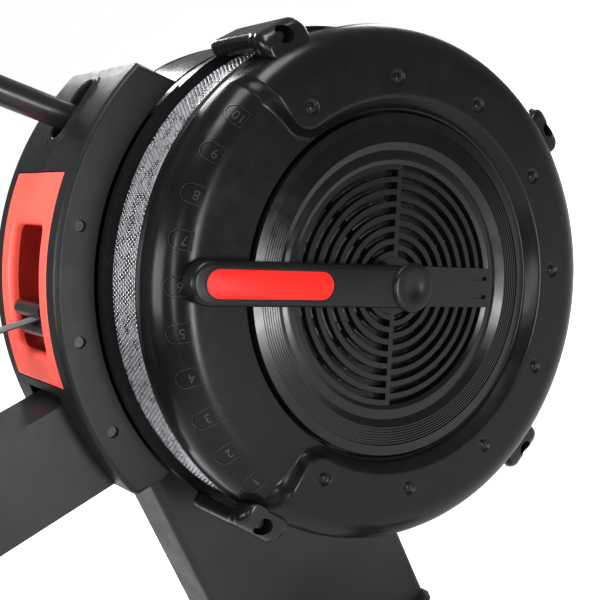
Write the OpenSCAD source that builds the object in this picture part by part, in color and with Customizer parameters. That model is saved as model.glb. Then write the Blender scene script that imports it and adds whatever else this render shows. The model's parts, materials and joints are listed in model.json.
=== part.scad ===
// Air rowing machine: fan housing with a ten-step damper lever on the rower's right,
// box-section frame, strap-driven one-way clutch and a rolling seat on a rail.
// +X points from the seat to the fan, +Y to the rower's left, +Z up.
// The origin is on the floor, under the middle of the machine's length.

/* [Fan housing] */
// Height of the fan's axis above the floor
axis_h = 468; // [440:1:560]
// Radius of the perforated cage band
cage_r = 240; // [200:1:290]
// Width of the perforated cage band
cage_w = 53; // [44:1:80]
// Distance from the machine's middle plane to the band's back edge
cage_in = 93; // [92:1:120]
// Depth of the front cover, from the band to its raised face
cover_depth = 64; // [56:1:80]
// Radius of the front cover's rounded shoulder
shoulder_r = 32; // [26:1:40]
// Depth of the sector that the damper lever sweeps
sweep_depth = 13; // [8:1:15]
// Radius of the recess in the front cover's middle
well_r = 170; // [166:1:176]
// Thickness of the moulded plastic walls
wall = 3; // [2:0.5:4]

/* [Damper] */
// Radius of the turning damper disc
disc_r = 159; // [130:1:160]
// Radius of the air grille in the disc
grille_r = 113; // [90:1:120]
// Distance from one grille rib to the next
rib_pitch = 11.5; // [9:0.5:14]
// Width of a grille rib
rib_w = 5; // [3:0.5:6]
// Direction of the lever, measured from forward towards up
lever_angle = 150; // [130:1:170]
// Distance from the fan's axis to the lever's tip
lever_reach = 228; // [200:1:232]
// Width of the lever
lever_w = 38; // [26:1:42]

/* [Fan] */
// Number of fan blades
blade_count = 20; // [12:1:28]
// Room between the blade tips and the cage's inner wall
blade_gap = 9.6; // [7.6:0.2:30]
// Diameter of the fan's axle
axle_d = 17; // [15:1:20]
// Outer diameter of the axle's ball bearings
bearing_d = 40; // [35:1:42]

/* [Rear casing] */
// Outer radius of the crescent casing behind the fan
casing_r = 289; // [280:1:340]
// Half of the casing's width
casing_half = 79; // [70:1:84]
// Angle where the casing's top end meets its outer surface
casing_top = 107.7; // [104:0.1:108]
// Height of the casing's lower end below the fan's axis
casing_drop = 82; // [60:1:84]

/* [Frame] */
// Width of the main beam and the front leg
beam_w = 76; // [70:1:90]
// Height of the main beam
beam_h = 95.5; // [90:0.5:110]
// Height of the beam's top above the fan's axis
beam_top = 10.2; // [0:0.1:16]
// Rise of the beam and the rail towards the rear, in degrees
rail_slope = 2; // [0:0.5:3]
// Thickness of the frame's steel walls
steel = 3; // [2:0.5:4]
// Distance from the fan's axis to the beam's rear end
beam_len = 780; // [760:1:900]
// Distance from the fan's axis to the seat rail's rear end
rail_end = 2060; // [1900:10:2300]
// Width of the front leg, fore and aft
leg_w = 234; // [200:1:240]
// Half of the front foot bar's length
front_half = 280; // [240:5:320]
// Half of the rear foot bar's length
rear_half = 210; // [180:5:260]
// Diameter of the transport wheels
wheel_d = 66; // [50:1:76]

/* [Seat] */
// Distance from the fan's axis to the seat's middle
seat_at = 1150; // [1050:10:1500]
// Length of the seat pad, from side to side
seat_w = 330; // [280:5:380]
// Depth of the seat pad, fore and aft
seat_d = 240; // [200:5:280]
// Thickness of the seat pad
pad_t = 42; // [30:1:55]
// Radius of the seat's rolling wheels
roller_r = 18; // [15:1:22]

/* [Handle and strap] */
// Angle of the pull above level, in degrees
pull_angle = 12; // [10:0.5:14]
// Distance from the fan's axis to the parked handle
handle_at = 450; // [430:5:500]
// Half of the handle's length
handle_half = 235; // [200:5:260]
// Diameter of a hand grip
grip_d = 32; // [28:1:38]
// Width of the pull strap
strap_w = 25; // [18:1:28]
// Thickness of the pull strap
strap_t = 2; // [1.5:0.5:3]
// Outer radius of the strap wound on its spool
wound_r = 38; // [34:1:44]

/* [Footrests] */
// Length of a foot plate
plate_len = 290; // [260:5:320]
// Width of a foot plate
plate_w = 116; // [100:1:130]

/* [Monitor] */
// Outer diameter of the monitor's arm
arm_d = 27.2; // [22:0.2:30]
// Length of the monitor's arm
arm_len = 390; // [300:5:450]
// Width of the console
console_w = 190; // [160:5:230]
// Height of the console
console_h = 130; // [110:5:160]

/* [Hidden] */
$fn = 96;
fit = 0.05;        // running fit of a shaft in a hole, on the radius
gap = 0.3;         // room between curved faces
slip = 0.6;        // room round a tube that passes through a hole

charcoal = "#35363a";
black = "#17181a";
red = "#d8281c";
steel_grey = "#b9bdc2";
silver = "#c9ccd0";
rubber = "#202020";

// Distances to the right of the machine's middle plane
cage_out = cage_in + cage_w;
face = cage_out + cover_depth;
low_face = face - sweep_depth;
plate_back = low_face - 13;          // back face of the fixed shutter plate's front

// Radii of the fan housing
cover_r = cage_r + 2;
band_in = cage_r - 1.4;
spigot_in = band_in - wall;
blade_tip_r = spigot_in - blade_gap;
drum_r = cage_r + 6;
flange_r = cage_r + 10;
casing_in = flange_r + 0.4;
cover_shoulder = cover_r - shoulder_r;
clamp_r = cage_r + 22;                // outer reach of the cage clamps
clamp_half = 20;                     // half of a clamp's width over the front cover
clamp_angles = [91.5, 209.5, 10.5, -71.5];
clamp_back = cage_in - 11;
clamp_front = cage_out + 40;
shutter_r = disc_r + 8;
sweep_from = 104;
sweep_to = 205.5;
corner_r = 15;
dimple_r = (well_r + cover_shoulder) / 2;
dimple_first = 96.7;
dimple_step = 30.16;
dimple_count = 9;
disc_top = low_face + 4.4;
lever_top = face + 11;
lever_base = disc_top + 1.4;

// Frame
beam_low = beam_top - beam_h;
fork_half = beam_w / 2;
fork_t = 8;
drum_back = fork_half + fork_t + 4;   // back wall of the fan chamber, clear of the fork
boss_r = bearing_d / 2 + 8;
fork_r = boss_r + 14;
leg_front = -13;
leg_back = leg_front - leg_w;
fork_start = leg_front - 53;         // where the beam's box ends and its fork begins
rail_bolt_places = [25, 85];
rail_bolt_r = 4;
floor_z = -axis_h;
bar_h = 40;
bar_d = 60;
foot_h = 10;
bar_x = -120;
base_t = 6;
leg_foot = floor_z + foot_h + bar_h + base_t;
rail_w = beam_w - 2 * steel - 2;
rail_top = beam_top - steel - 1;
rail_h = beam_h - 2 * steel - 2;
flange_t = 10;
rail_neck = 44;
rail_in = 150;
track_t = 2;
track_w = 14;
rear_x = -(rail_end - 130);
rear_post = [60, 50];

// Casing and monitor arm
arm_pivot = [-131.8 * casing_r / 289, 234.8 * casing_r / 289];
arm_dir = 135;
slot_mid = 118.6;
slot_half = 7.3;
window_top = 142;
window_low = 166.5;
window_half = 37;
panel_top = 132;
panel_low = 172.3;
panel_half = 59;
leg_cut = 12;                        // room below the beam for the leg's top corner
casing_screw_r = (casing_in + casing_r) / 2;
casing_screw_angles = [141.3, 163.6, 182.9];
casing_pillar_from = max(window_half + wall + 0.5, fork_half + 2.5);

// Strap line: straight from the top of the spool to the handle
strap_z0 = wound_r / cos(pull_angle);
function on_strap(x) = [x, strap_z0 - x * tan(pull_angle)];
guide_at = casing_r - 27;
guide_r = 8;
guide_shift = guide_r + strap_t / 2 + gap;
handle_pos = on_strap(-handle_at);
spool_half = 18;

// Seat
side_t = 4;
carriage_half = rail_w / 2 + side_t + 6;   // the side plates stand clear of the rail
rolling_gap = 0.1;                   // room between the wheels and the track, so they don't overlap
axle_up = rail_top + track_t + roller_r + rolling_gap;
carriage_top = axle_up + roller_r + 4;
lower_r = 9;
lower_z = rail_top - flange_t - lower_r - 0.4;
wheel_gap = 75;
base_h = 12;

// Footrests
foot_low = [-690, beam_low - 14.7];
foot_high = [-600, beam_top + 15.8];
foot_tilt = atan2(foot_high[1] - foot_low[1], foot_high[0] - foot_low[0]);
foot_tube_r = 12.5;
foot_y = 54 + plate_w / 2;
plate_t = 8;
plate_low = -75;
lip_h = 3;                           // height of the ribs along a foot plate's sides
cup_half = 44;
strap_at = 105;
foot_strap_w = 38;
foot_strap_r = plate_w / 2;
foot_strap_t = 2.5;

// Console
console_tilt = -70;
console_end = [arm_pivot[0] + arm_len * cos(arm_dir), arm_pivot[1] + arm_len * sin(arm_dir)];
console_t = 30;
console_low = 20;
button_r = 8;
button_pitch = 42;

front_x = clamp_r * cos(clamp_angles[2] - asin(clamp_half / clamp_r));
rear_end = (rail_end + 10) * cos(rail_slope) + (rail_h + 4 - rail_top) * sin(rail_slope);
x_shift = (rear_end - front_x) / 2;

function polar(r, a) = [r * cos(a), r * sin(a)];
function arc(r, a0, a1, c = [0, 0], n = 16) = [for (i = [0:n]) c + polar(r, a0 + (a1 - a0) * i / n)];

// Puts a piece drawn about the fan's axis into the machine's frame
module placed() translate([x_shift, 0, axis_h]) children();
// Turns a piece so that its own +Z points to the rower's right
module to_right() rotate([90, 0, 0]) children();
// Tilts a piece with the beam and the rail
module sloped() rotate([0, rail_slope, 0]) children();
// Copies a piece to both sides of the middle plane
module both_sides() { children(); mirror([0, 1, 0]) children(); }

module tube(r0, r1, t0, t1) translate([0, 0, t0]) difference() {
    cylinder(r = r1, h = t1 - t0);
    translate([0, 0, -1]) cylinder(r = r0, h = t1 - t0 + 2);
}
module rod(r, t0, t1) translate([0, 0, t0]) cylinder(r = r, h = t1 - t0);
module sector(r, a0, a1) polygon(concat([[0, 0]], arc(r, a0, a1, n = 32)));
// Box between two corners
module span(a, b) translate(a) cube(b - a);
module rounded_bar(size, r, h) linear_extrude(h) rounded(size, r);
module rounded(size, r) union() {
    square([size[0] - 2 * r, size[1]], center = true);
    square([size[0], size[1] - 2 * r], center = true);
    for (x = [-1, 1], y = [-1, 1])
        translate([x * (size[0] / 2 - r), y * (size[1] / 2 - r)]) circle(r, $fn = 32);
}
module pill(length, width) union() {
    square([length - width, width], center = true);
    for (x = [-1, 1]) translate([x * (length - width) / 2, 0]) circle(d = width);
}
// Round bar between two points of the vertical plane y
module rod_between(a, b, y, r) {
    d = b - a;
    translate([a[0], y, a[1]]) rotate([0, 90 - atan2(d[1], d[0]), 0]) cylinder(r = r, h = norm(d));
}

// ---- Frame ----
module leg_post() color(charcoal) placed() difference() {
    union() {
        translate([(leg_front + leg_back) / 2, 0, leg_foot]) difference() {
            rounded_bar([leg_w, beam_w], 9, 500);
            translate([0, 0, 2 * steel]) rounded_bar([leg_w - 2 * steel, beam_w - 2 * steel], 6, 500);
        }
        translate([(leg_front + leg_back) / 2, 0, leg_foot - base_t])
            rounded_bar([leg_w + 2, beam_w + 24], 10, base_t);
    }
    sloped() span([-400, -100, beam_low], [200, 100, 600]);
    for (y = [-1, 1], x = [-1, 1]) translate([bar_x + x * 20, y * (beam_w / 2 + 6.5), leg_foot - 20])
        cylinder(r = 3.3, h = 30);
}

module main_beam() color(charcoal) placed() {
    difference() {
        union() {
            sloped() span([-beam_len, -fork_half, beam_low], [fork_start, fork_half, beam_top]);
            sloped() span([fork_start - 1, -fork_half, beam_low], [leg_front, fork_half, beam_low + steel]);
            both_sides() fork_plate();
        }
        sloped() span([-beam_len - 1, -fork_half + steel, beam_low + steel],
            [fork_start + 1, fork_half - steel, beam_top - steel]);
        to_right() rod(bearing_d / 2, -80, 80);
        rail_bolt_line() rod(rail_bolt_r + 0.2, -60, 60);
    }
}
// Line of each bolt that joins the seat rail to the beam
module rail_bolt_line() sloped() for (x = rail_bolt_places)
    translate([-beam_len + x, 0, beam_top - beam_h / 2]) to_right() children();
// Plate beside the beam's front end that carries a bearing
module fork_plate() to_right() union() {
    translate([0, 0, fork_half - 1]) linear_extrude(fork_t + 1) union() {
        circle(fork_r);
        polygon([[-200, -76], [-4, -76], [fork_r - 2, 0], [0, fork_r - 2], [-60, 34], [-200, 4]]);
    }
    rod(boss_r, fork_half, drum_back);
}

module front_foot_bar() color(charcoal) placed() {
    translate([bar_x, 0, floor_z + foot_h + bar_h / 2]) rotate([90, 0, 0]) difference() {
        translate([0, 0, -front_half]) rounded_bar([bar_d, bar_h], 12, 2 * front_half);
        translate([0, 0, -front_half - 1])
            rounded_bar([bar_d - 2 * steel, bar_h - 2 * steel], 9, 2 * front_half + 2);
    }
    both_sides() difference() {
        translate([0, front_half - 46, wheel_z]) rotate([-90, 0, 0]) linear_extrude(6) union() {
            translate([bar_x + bar_d / 2 + 8, 0]) square([60, 24], center = true);
            translate([wheel_x, 0]) circle(12);
        }
        translate([wheel_x, front_half - 60, wheel_z]) rotate([-90, 0, 0]) cylinder(r = 4 + fit, h = 40);
        translate([bar_x - bar_d, front_half - 50, wheel_z - 30]) cube([bar_d + bar_d / 2 - 2, 20, 60]);
    }
}
wheel_x = bar_x + bar_d / 2 + wheel_d / 2 + 6;
wheel_z = floor_z + wheel_d / 2 + 4;

module foot_bar_caps() color(rubber) placed() {
    both_sides() translate([bar_x, front_half, floor_z + foot_h + bar_h / 2]) rotate([-90, 0, 0])
        rounded_bar([bar_d + 4, bar_h + 4], 13, 12);
    both_sides() translate([rear_x, rear_half, floor_z + foot_h + bar_h / 2]) rotate([-90, 0, 0])
        rounded_bar([bar_d + 4, bar_h + 4], 13, 12);
}

module rubber_feet() color(rubber) placed()
    for (p = [[bar_x, front_half - 90], [rear_x, rear_half - 50]], y = [-1, 1])
        translate([p[0], y * p[1], floor_z]) cylinder(r = 22, h = foot_h);

module transport_wheels() color(rubber) placed() both_sides()
    translate([wheel_x, front_half - 38, wheel_z]) rotate([-90, 0, 0]) union() {
        difference() {
            cylinder(d = wheel_d, h = 24);
            translate([0, 0, 20]) tube(12, wheel_d / 2 - 8, 0, 10);
        }
        translate([0, 0, -12]) cylinder(r = 4, h = 12);
    }

module frame_bolts() color(steel_grey) placed() {
    for (y = [-1, 1], x = [-1, 1]) translate([bar_x + x * 20, y * (beam_w / 2 + 6.5), leg_foot]) union() {
        cylinder(r = 6, h = 5, $fn = 6);
        translate([0, 0, -base_t]) cylinder(r = 3, h = base_t + 1);
    }
    rail_bolt_line() union() {
        rod(7, beam_w / 2, beam_w / 2 + 5);
        rod(7, -beam_w / 2 - 5, -beam_w / 2);
        rod(rail_bolt_r, -beam_w / 2 - 1, beam_w / 2 + 1);
    }
    sloped() translate([leg_back - 30, 0, beam_low - 8]) rod(8, 0, 8);
}

module seat_rail() color(silver) placed() sloped() difference() {
    translate([-rail_end, 0, rail_top]) rotate([90, 0, 90])
        linear_extrude(rail_end - beam_len + rail_in) difference() {
            union() {
                translate([-rail_w / 2, -flange_t]) square([rail_w, flange_t]);
                translate([-rail_neck / 2, -rail_h]) square([rail_neck, rail_h]);
                translate([-rail_w / 2, -rail_h]) square([rail_w, flange_t]);
            }
            translate([-rail_neck / 2 + 4, -rail_h + 5]) square([rail_neck - 8, rail_h - 10]);
        }
    for (x = rail_bolt_places) translate([-beam_len + x, 0, beam_top - beam_h / 2]) to_right()
        rod(rail_bolt_r + 0.2, -60, 60);
}

module track_strips() color(steel_grey) placed() sloped() both_sides()
    span([-rail_end, rail_w / 2 - track_w, rail_top], [-beam_len - 1, rail_w / 2, rail_top + track_t]);

module rail_end_cap() color(black) placed() sloped() translate([-rail_end, 0, rail_top - rail_h / 2])
    rotate([0, -90, 0]) rounded_bar([rail_h + 8, rail_w + 8], 8, 10);

module rail_stops() color(rubber) placed() sloped() for (x = [-stop_front, -stop_rear])
    translate([x, 0, rail_top]) cylinder(r = 11, h = 24);
stop_front = beam_len + 50;
stop_rear = rail_end - 30;

module rear_leg() color(charcoal) placed() {
    difference() {
        translate([rear_x, 0, floor_z + foot_h + bar_h]) difference() {
            rounded_bar(rear_post, 8, 600);
            translate([0, 0, steel]) rounded_bar(rear_post - [2 * steel, 2 * steel], 5, 600);
        }
        sloped() span([-rail_end - 100, -100, rail_top - rail_h - 4], [-800, 100, 400]);
    }
    sloped() translate([rear_x, 0, 0])
        span([-45, -rail_w / 2 - 4, rail_top - rail_h - 4], [45, rail_w / 2 + 4, rail_top - rail_h]);
    sloped() translate([rear_x, 0, 0]) both_sides()
        span([-45, rail_w / 2, rail_top - rail_h], [45, rail_w / 2 + 4, rail_top - rail_h + flange_t]);
}

module rear_foot_bar() color(charcoal) placed()
    translate([rear_x, 0, floor_z + foot_h + bar_h / 2]) rotate([90, 0, 0]) difference() {
        translate([0, 0, -rear_half]) rounded_bar([bar_d, bar_h], 12, 2 * rear_half);
        translate([0, 0, -rear_half - 1])
            rounded_bar([bar_d - 2 * steel, bar_h - 2 * steel], 9, 2 * rear_half + 2);
    }

// ---- Fan ----
module axle_bearings() color(steel_grey) placed() to_right() for (s = [-1, 1]) {
    mid = s * (fork_half + 7);
    tube(bearing_d / 2 - 4, bearing_d / 2, mid - 6, mid + 6);
    tube(axle_d / 2 + fit, axle_d / 2 + 4, mid - 6, mid + 6);
    tube(axle_d / 2 + 4, bearing_d / 2 - 4, mid - 1, mid + 1);
}

module fan_axle() color(steel_grey) placed() to_right() union() {
    rod(axle_d / 2, -fork_half - 18, plate_back - 8);
    tube(axle_d / 2, axle_d / 2 + 4, fork_half + 13.4, fork_half + 22);
    tube(axle_d / 2, axle_d / 2 + 4, -fork_half - 18, -fork_half - 13.4);
}

module fan_hub() color(silver) placed() to_right() difference() {
    union() {
        rod(30, cage_in + 5, cage_in + 55);
        rod(44, cage_in + 5, cage_in + 12);
    }
    rod(axle_d / 2, 0, 300);
}

module fan_blades() color(steel_grey) placed() to_right() {
    blade_back = cage_in + 12;
    tube(30, blade_tip_r + 2, blade_back, blade_back + 1.5);
    for (i = [0:blade_count - 1]) rotate(i * 360 / blade_count)
        translate([70, -0.75, blade_back]) cube([blade_tip_r - 70, 1.5, plate_back - 12 - blade_back]);
}

module back_cover() color(black) placed() to_right() rotate_extrude() polygon([
    [boss_r + 3, drum_back], [drum_r - 10, drum_back], [drum_r, drum_back + 10],
    [drum_r, cage_in - 9], [flange_r, cage_in - 9], [flange_r, cage_in], [band_in, cage_in],
    [band_in, cage_in + 4], [spigot_in, cage_in + 4], [spigot_in, cage_in - 3], [drum_r - wall, cage_in - 8],
    [drum_r - wall, drum_back + 11], [drum_r - 11, drum_back + wall], [boss_r + 3, drum_back + wall]]);

module cage_band() color(silver) placed() to_right() tube(band_in + 0.2, cage_r, cage_in, cage_out);

module front_cover() color(black) placed() to_right() {
    c_low = [cover_shoulder, low_face - shoulder_r];
    c_high = [cover_shoulder, face - shoulder_r];
    inner = spigot_in - cover_shoulder;
    rotate_extrude() polygon(concat(
        [[spigot_in, cage_out - 4], [band_in, cage_out - 4], [band_in, cage_out], [cover_r, cage_out]],
        arc(shoulder_r, 0, 90, c_low),
        [[disc_r + 3, low_face], [disc_r + 3, plate_back], [disc_r + 6, plate_back],
            [disc_r + 6, c_low[1] + inner]],
        arc(inner, 90, 0, c_low)));
    intersection() {
        rotate_extrude() polygon(concat(arc(shoulder_r, 0, 90, c_high), [[well_r, face], [well_r, low_face - 1]],
            arc(shoulder_r - 1, 90, 0, c_low)));
        difference() {
            rod(cover_r + 9, 0, 300);
            translate([0, 0, -1]) linear_extrude(302) sweep_outline();
        }
    }
    for (i = [0:dimple_count - 1]) rotate(dimple_first - i * dimple_step)
        translate([dimple_r, 0, face - 1]) cylinder(r = 5, h = 2.2);
}
// Sector swept by the lever, with rounded corners where it meets the middle recess
module sweep_outline() {
    sector(300, sweep_from, sweep_to);
    corner_out = well_r + corner_r;
    turn = asin(corner_r / corner_out);
    for (s = [[sweep_from, -1], [sweep_to, 1]]) difference() {
        intersection() {
            sector(corner_out * cos(turn), s[0] + s[1] * turn, s[0] - s[1]);
            circle(300);
        }
        translate(polar(corner_out, s[0] + s[1] * turn)) circle(corner_r);
    }
}

// Half of the grille's rings: side 1 is the lever's side, side -1 the far side
module grille_half(side, shift) intersection() {
    union() for (r = [grille_r - rib_w - shift:-rib_pitch:26]) difference() {
        circle(r + rib_w);
        circle(r);
    }
    translate([side > 0 ? 0 : -grille_r - 5, -grille_r - 5]) square([grille_r + 5, 2 * grille_r + 10]);
}

module damper_shutter() color(black) placed() to_right() rotate(lever_angle) {
    translate([0, 0, plate_back - 4]) linear_extrude(4) union() {
        difference() { circle(shutter_r); circle(grille_r); }
        grille_half(1, rib_pitch / 2);
        grille_half(-1, 0);
        circle(26);
        for (a = [0:45:179]) rotate(a) square([2 * grille_r + 4, 8], center = true);
    }
    rod(8, plate_back, disc_top + 0.2);
}

module damper_disc() color(black) placed() to_right() rotate(lever_angle) {
    groove_out = disc_r - 9;
    groove_in = groove_out - 17;
    steps = 7;
    pitch = (groove_out - groove_in) / steps;
    back = plate_back + 2;
    rotate_extrude() polygon(concat(
        [[grille_r, back], [disc_r, back], [disc_r, disc_top], [groove_out, disc_top]],
        [for (i = [0:steps - 1], p = [[0, -1.6], [0.5, -1.6], [0.5, -0.6], [1, -0.6]])
            [groove_out - (i + p[0]) * pitch, disc_top + p[1]]],
        [[groove_in - 7, disc_top - 6], [grille_r + 4, disc_top - 6], [grille_r, disc_top - 8]]));
    translate([0, 0, back]) linear_extrude(disc_top - 8 - back) union() {
        grille_half(1, 0);
        grille_half(-1, rib_pitch / 2);
        difference() { circle(27); circle(8 + fit); }
        for (s = [-1, 1]) translate([0, s * grille_r / 2 + s * 10]) square([rib_w, grille_r - 20], center = true);
    }
    difference() {
        translate([0, 0, back]) linear_extrude(disc_top - back) union() {
            difference() { square([2 * grille_r + 1, lever_w], center = true); circle(8 + fit); }
        }
        for (s = [-1, 1]) translate([-grille_r + 14, s * 9, disc_top - 3]) linear_extrude(10) pill(20, 4);
    }
}

module lever_outline() {
    translate([(lever_reach - lever_w / 2) / 2, 0]) pill(lever_reach + lever_w / 2, lever_w);
}
insert_from = 88;
insert_to = lever_reach - 13;
insert_w = lever_w - 12;
module damper_lever() color(black) placed() to_right() rotate(lever_angle) difference() {
    union() {
        translate([0, 0, lever_base]) linear_extrude(lever_top - lever_base) lever_outline();
        tube(8 + fit, 24, disc_top, lever_top - 2);
    }
    rod(8 + fit, 0, disc_top + 1);
    translate([(insert_from + insert_to) / 2, 0, lever_top - 1.5])
        linear_extrude(5) pill(insert_to - insert_from, insert_w);
}
module lever_insert() color(red) placed() to_right() rotate(lever_angle)
    translate([(insert_from + insert_to) / 2, 0, lever_top - 1.5])
        linear_extrude(2) pill(insert_to - insert_from - 0.4, insert_w - 0.4);
module hub_cap() color(black) placed() to_right() translate([0, 0, lever_top]) rotate_extrude()
    polygon([[0, 0], [23, 0], [23, 1.5], [20, 3.5], [0, 3.5]]);

module cage_clamps() color(black) placed() to_right() for (a = clamp_angles) difference() {
    rotate(a) translate([flange_r - 20, 0, 0]) rotate([0, 90, 0]) linear_extrude(40) polygon([
        [-clamp_back, -14], [-clamp_back, 14], [-cage_out + 6, 15], [-cage_out - 2, clamp_half],
        [-clamp_front, clamp_half], [-clamp_front, -clamp_half], [-cage_out - 2, -clamp_half],
        [-cage_out + 6, -15]]);
    tube(clamp_r, clamp_r + 60, 0, 300);
    rod(flange_r + gap, 0, cage_in + 1);
    rod(cover_r + gap, cage_in, 300);
    rotate(a) translate([cover_r + 9, 0, clamp_front - 12]) cylinder(r = 5.5, h = 30);
    rotate(a) translate([cover_r + 9, 0, clamp_front - 32]) cylinder(r = 2.6, h = 60);
}

module housing_screws() color(steel_grey) placed() {
    to_right() for (a = clamp_angles) rotate(a) translate([cover_r + 9, 0, 0]) {
        rod(5, clamp_front - 12, clamp_front - 7);
        rod(2.4, clamp_front - 30, clamp_front - 12);
    }
    both_sides() to_right() at_casing_screws() union() {
        rod(5, casing_half - 8, casing_half - 4);
        rod(2.4, casing_pillar_from + 1, casing_half - 8);
    }
}

module left_cover() color(black) placed() to_right() {
    back = -casing_half;
    c = [drum_r - 22, back + 22];
    rotate_extrude() polygon(concat([[0, back]], arc(22, -90, 0, c, n = 10),
        [[drum_r, -drum_back], [drum_r - wall, -drum_back]],
        arc(22 - wall, 0, -90, c, n = 10), [[0, back + wall]]));
    translate([0, 0, -drum_back - 3]) linear_extrude(2 * drum_back + 3) intersection() {
        difference() { circle(drum_r - 0.5); circle(drum_r - wall - 0.5); }
        sector(400, -92.5, casing_top + 4);
    }
}

// ---- Rear casing ----
module crescent(inset) intersection() {
    difference() { circle(casing_r - inset, $fn = 180); circle(casing_in + inset, $fn = 180); }
    top = polar(casing_r, casing_top) - inset * [cos(38), sin(38)];
    cut = [cos(-52), sin(-52)];
    polygon([top + 55 * cut, top - 60 * cut, [-500, 500], [-500, inset - casing_drop],
        [-180, inset - casing_drop]]);
}
module at_casing_screws() for (a = casing_screw_angles) translate(polar(casing_screw_r, a)) children();
// One half of the casing, on the positive side of its own middle plane
module casing_half_shell() difference() {
    union() {
        difference() {
            linear_extrude(casing_half) crescent(0);
            translate([0, 0, -1]) linear_extrude(casing_half - wall + 1) crescent(wall);
        }
        at_casing_screws() rod(8, casing_pillar_from, casing_half - 1);
        translate([arm_pivot[0], arm_pivot[1], 0]) rod(12, 20, casing_half - 1);
        linear_extrude(20) intersection() {
            difference() { circle(casing_r + 2); circle(casing_r - 1); }
            sector(400, slot_mid - slot_half - 1.6, slot_mid + slot_half + 1.6);
        }
    }
    translate([arm_pivot[0], arm_pivot[1], 0]) rod(6 + fit, -1, casing_half - wall - 3);
    at_casing_screws() rod(5.5, casing_half - 8, casing_half + 1);
    at_casing_screws() rod(2.6, -1, casing_half - 7);
    translate([0, 0, -1]) linear_extrude(18.5) difference() {
        sector(400, slot_mid - slot_half, slot_mid + slot_half);
        circle(casing_r - 20);
    }
    translate([0, 0, -1]) linear_extrude(panel_half + 1) difference() {
        sector(400, panel_top, panel_low);
        circle(casing_r - wall - 2);
    }
    translate([0, 0, -1]) linear_extrude(23) difference() {
        sector(400, 155, 166);
        circle(casing_in - 10);
        difference() { circle(500); circle(casing_in + wall + 1); }
    }
    translate([0, 0, -1]) linear_extrude(fork_half + slip + 1) rotate(-rail_slope)
        translate([-500, beam_low - leg_cut]) square([500, beam_h + leg_cut + slip]);
}
module casing_right() color(charcoal) placed() to_right() casing_half_shell();
module casing_left() color(charcoal) placed() mirror([0, 1, 0]) to_right() casing_half_shell();

module dock_panel() color(red) placed() to_right() {
    shell_in = casing_r - wall - 2;
    tunnel_in = casing_in + wall + 2;
    difference() {
        translate([0, 0, -panel_half + 0.3]) linear_extrude(2 * panel_half - 0.6) difference() {
            sector(casing_r + 1, panel_top + 0.1, panel_low - 0.1);
            circle(shell_in);
            difference() { circle(500); circle(casing_r + 0.6); }
        }
        translate([0, 0, -window_half]) linear_extrude(2 * window_half) sector(400, window_top, window_low);
    }
    difference() {
        translate([0, 0, -window_half - wall]) linear_extrude(2 * window_half + 2 * wall) difference() {
            sector(400, window_top - 0.7, window_low + 0.7);
            circle(tunnel_in);
            difference() { circle(500); circle(shell_in + 0.5); }
        }
        translate([0, 0, -window_half]) linear_extrude(2 * window_half) sector(400, window_top, window_low);
        for (s = [-1, 1]) translate(guide_pos(s)) rod(3 + fit, -60, 60);
    }
}
function guide_pos(s) = on_strap(-guide_at) + s * guide_shift * [sin(pull_angle), cos(pull_angle)];
module guide_roller(s) placed() to_right() translate(guide_pos(s)) union() {
    rod(guide_r, -window_half + 6, window_half - 6);
    rod(3, -window_half - 2, window_half + 2);
}
module guide_roller_upper() color(steel_grey) guide_roller(1);
module guide_roller_lower() color(steel_grey) guide_roller(-1);

// ---- Drive ----
module strap_spool() color(silver) placed() to_right() {
    tube(14, 28, -spool_half, spool_half);
    for (s = [-1, 1]) tube(14, 52, s > 0 ? spool_half - 3 : -spool_half, s > 0 ? spool_half : -spool_half + 3);
}
module one_way_clutch() color(steel_grey) placed() to_right() tube(axle_d / 2 + fit, 14, -14, 14);
module strap_wrap() color(black) placed() to_right() tube(28, wound_r - strap_t / 2 - 0.1, -strap_w / 2, strap_w / 2);
spring_turns = 5;
spring_in = axle_d / 2 + 7;
spring_out = 48;
function coil(a, d) = polar(spring_in + (spring_out - spring_in) * a / spring_turns / 360 + d, a);
module return_spring() color(steel_grey) placed() to_right()
    translate([0, 0, -34]) linear_extrude(12) polygon(concat(
        [for (a = [0:15:360 * spring_turns]) coil(a, 0.5)],
        [for (a = [360 * spring_turns:-15:0]) coil(a, -0.5)]));
module pull_strap() color(black) placed() {
    from = on_strap(-12);
    to = handle_pos + 41 * [cos(pull_angle), -sin(pull_angle)];
    translate([from[0], 0, from[1]]) rotate([0, 180 + pull_angle, 0])
        translate([0, -strap_w / 2, -strap_t / 2]) cube([norm(to - from), strap_w, strap_t]);
}

// ---- Handle ----
grip_from = 70;
bar_r = 11;
bar_bend = 8;
module handle_frame() placed() translate([handle_pos[0], 0, handle_pos[1]]) children();
module handle_side() translate([0, grip_from - 10, 0]) rotate([0, 0, bar_bend]) rotate([-90, 0, 0]) children();
module handle_bar() color(steel_grey) handle_frame() {
    rotate([90, 0, 0]) rod(bar_r, -grip_from + 10, grip_from - 10);
    both_sides() {
        translate([0, grip_from - 10, 0]) sphere(r = bar_r);
        handle_side() cylinder(r = bar_r, h = handle_half - grip_from + 6);
    }
}
module handle_grips() color(rubber) handle_frame() both_sides() handle_side() difference() {
    rod(grip_d / 2, 16, handle_half - grip_from + 14);
    rod(bar_r, 0, handle_half - grip_from + 6);
}
module handle_bracket() color(steel_grey) handle_frame() rotate([0, pull_angle, 0]) difference() {
    union() {
        rotate([90, 0, 0]) rod(bar_r + 5, -20, 20);
        both_sides() span([0, 14, -9], [36, 20, 9]);
        translate([36, 0, 0]) rotate([90, 0, 0]) rod(9, -20, -14);
        translate([36, 0, 0]) rotate([90, 0, 0]) rod(9, 14, 20);
        translate([36, 0, 0]) rotate([90, 0, 0]) rod(4, -20, 20);
    }
    rotate([90, 0, 0]) rod(bar_r, -40, 40);
}
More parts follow.
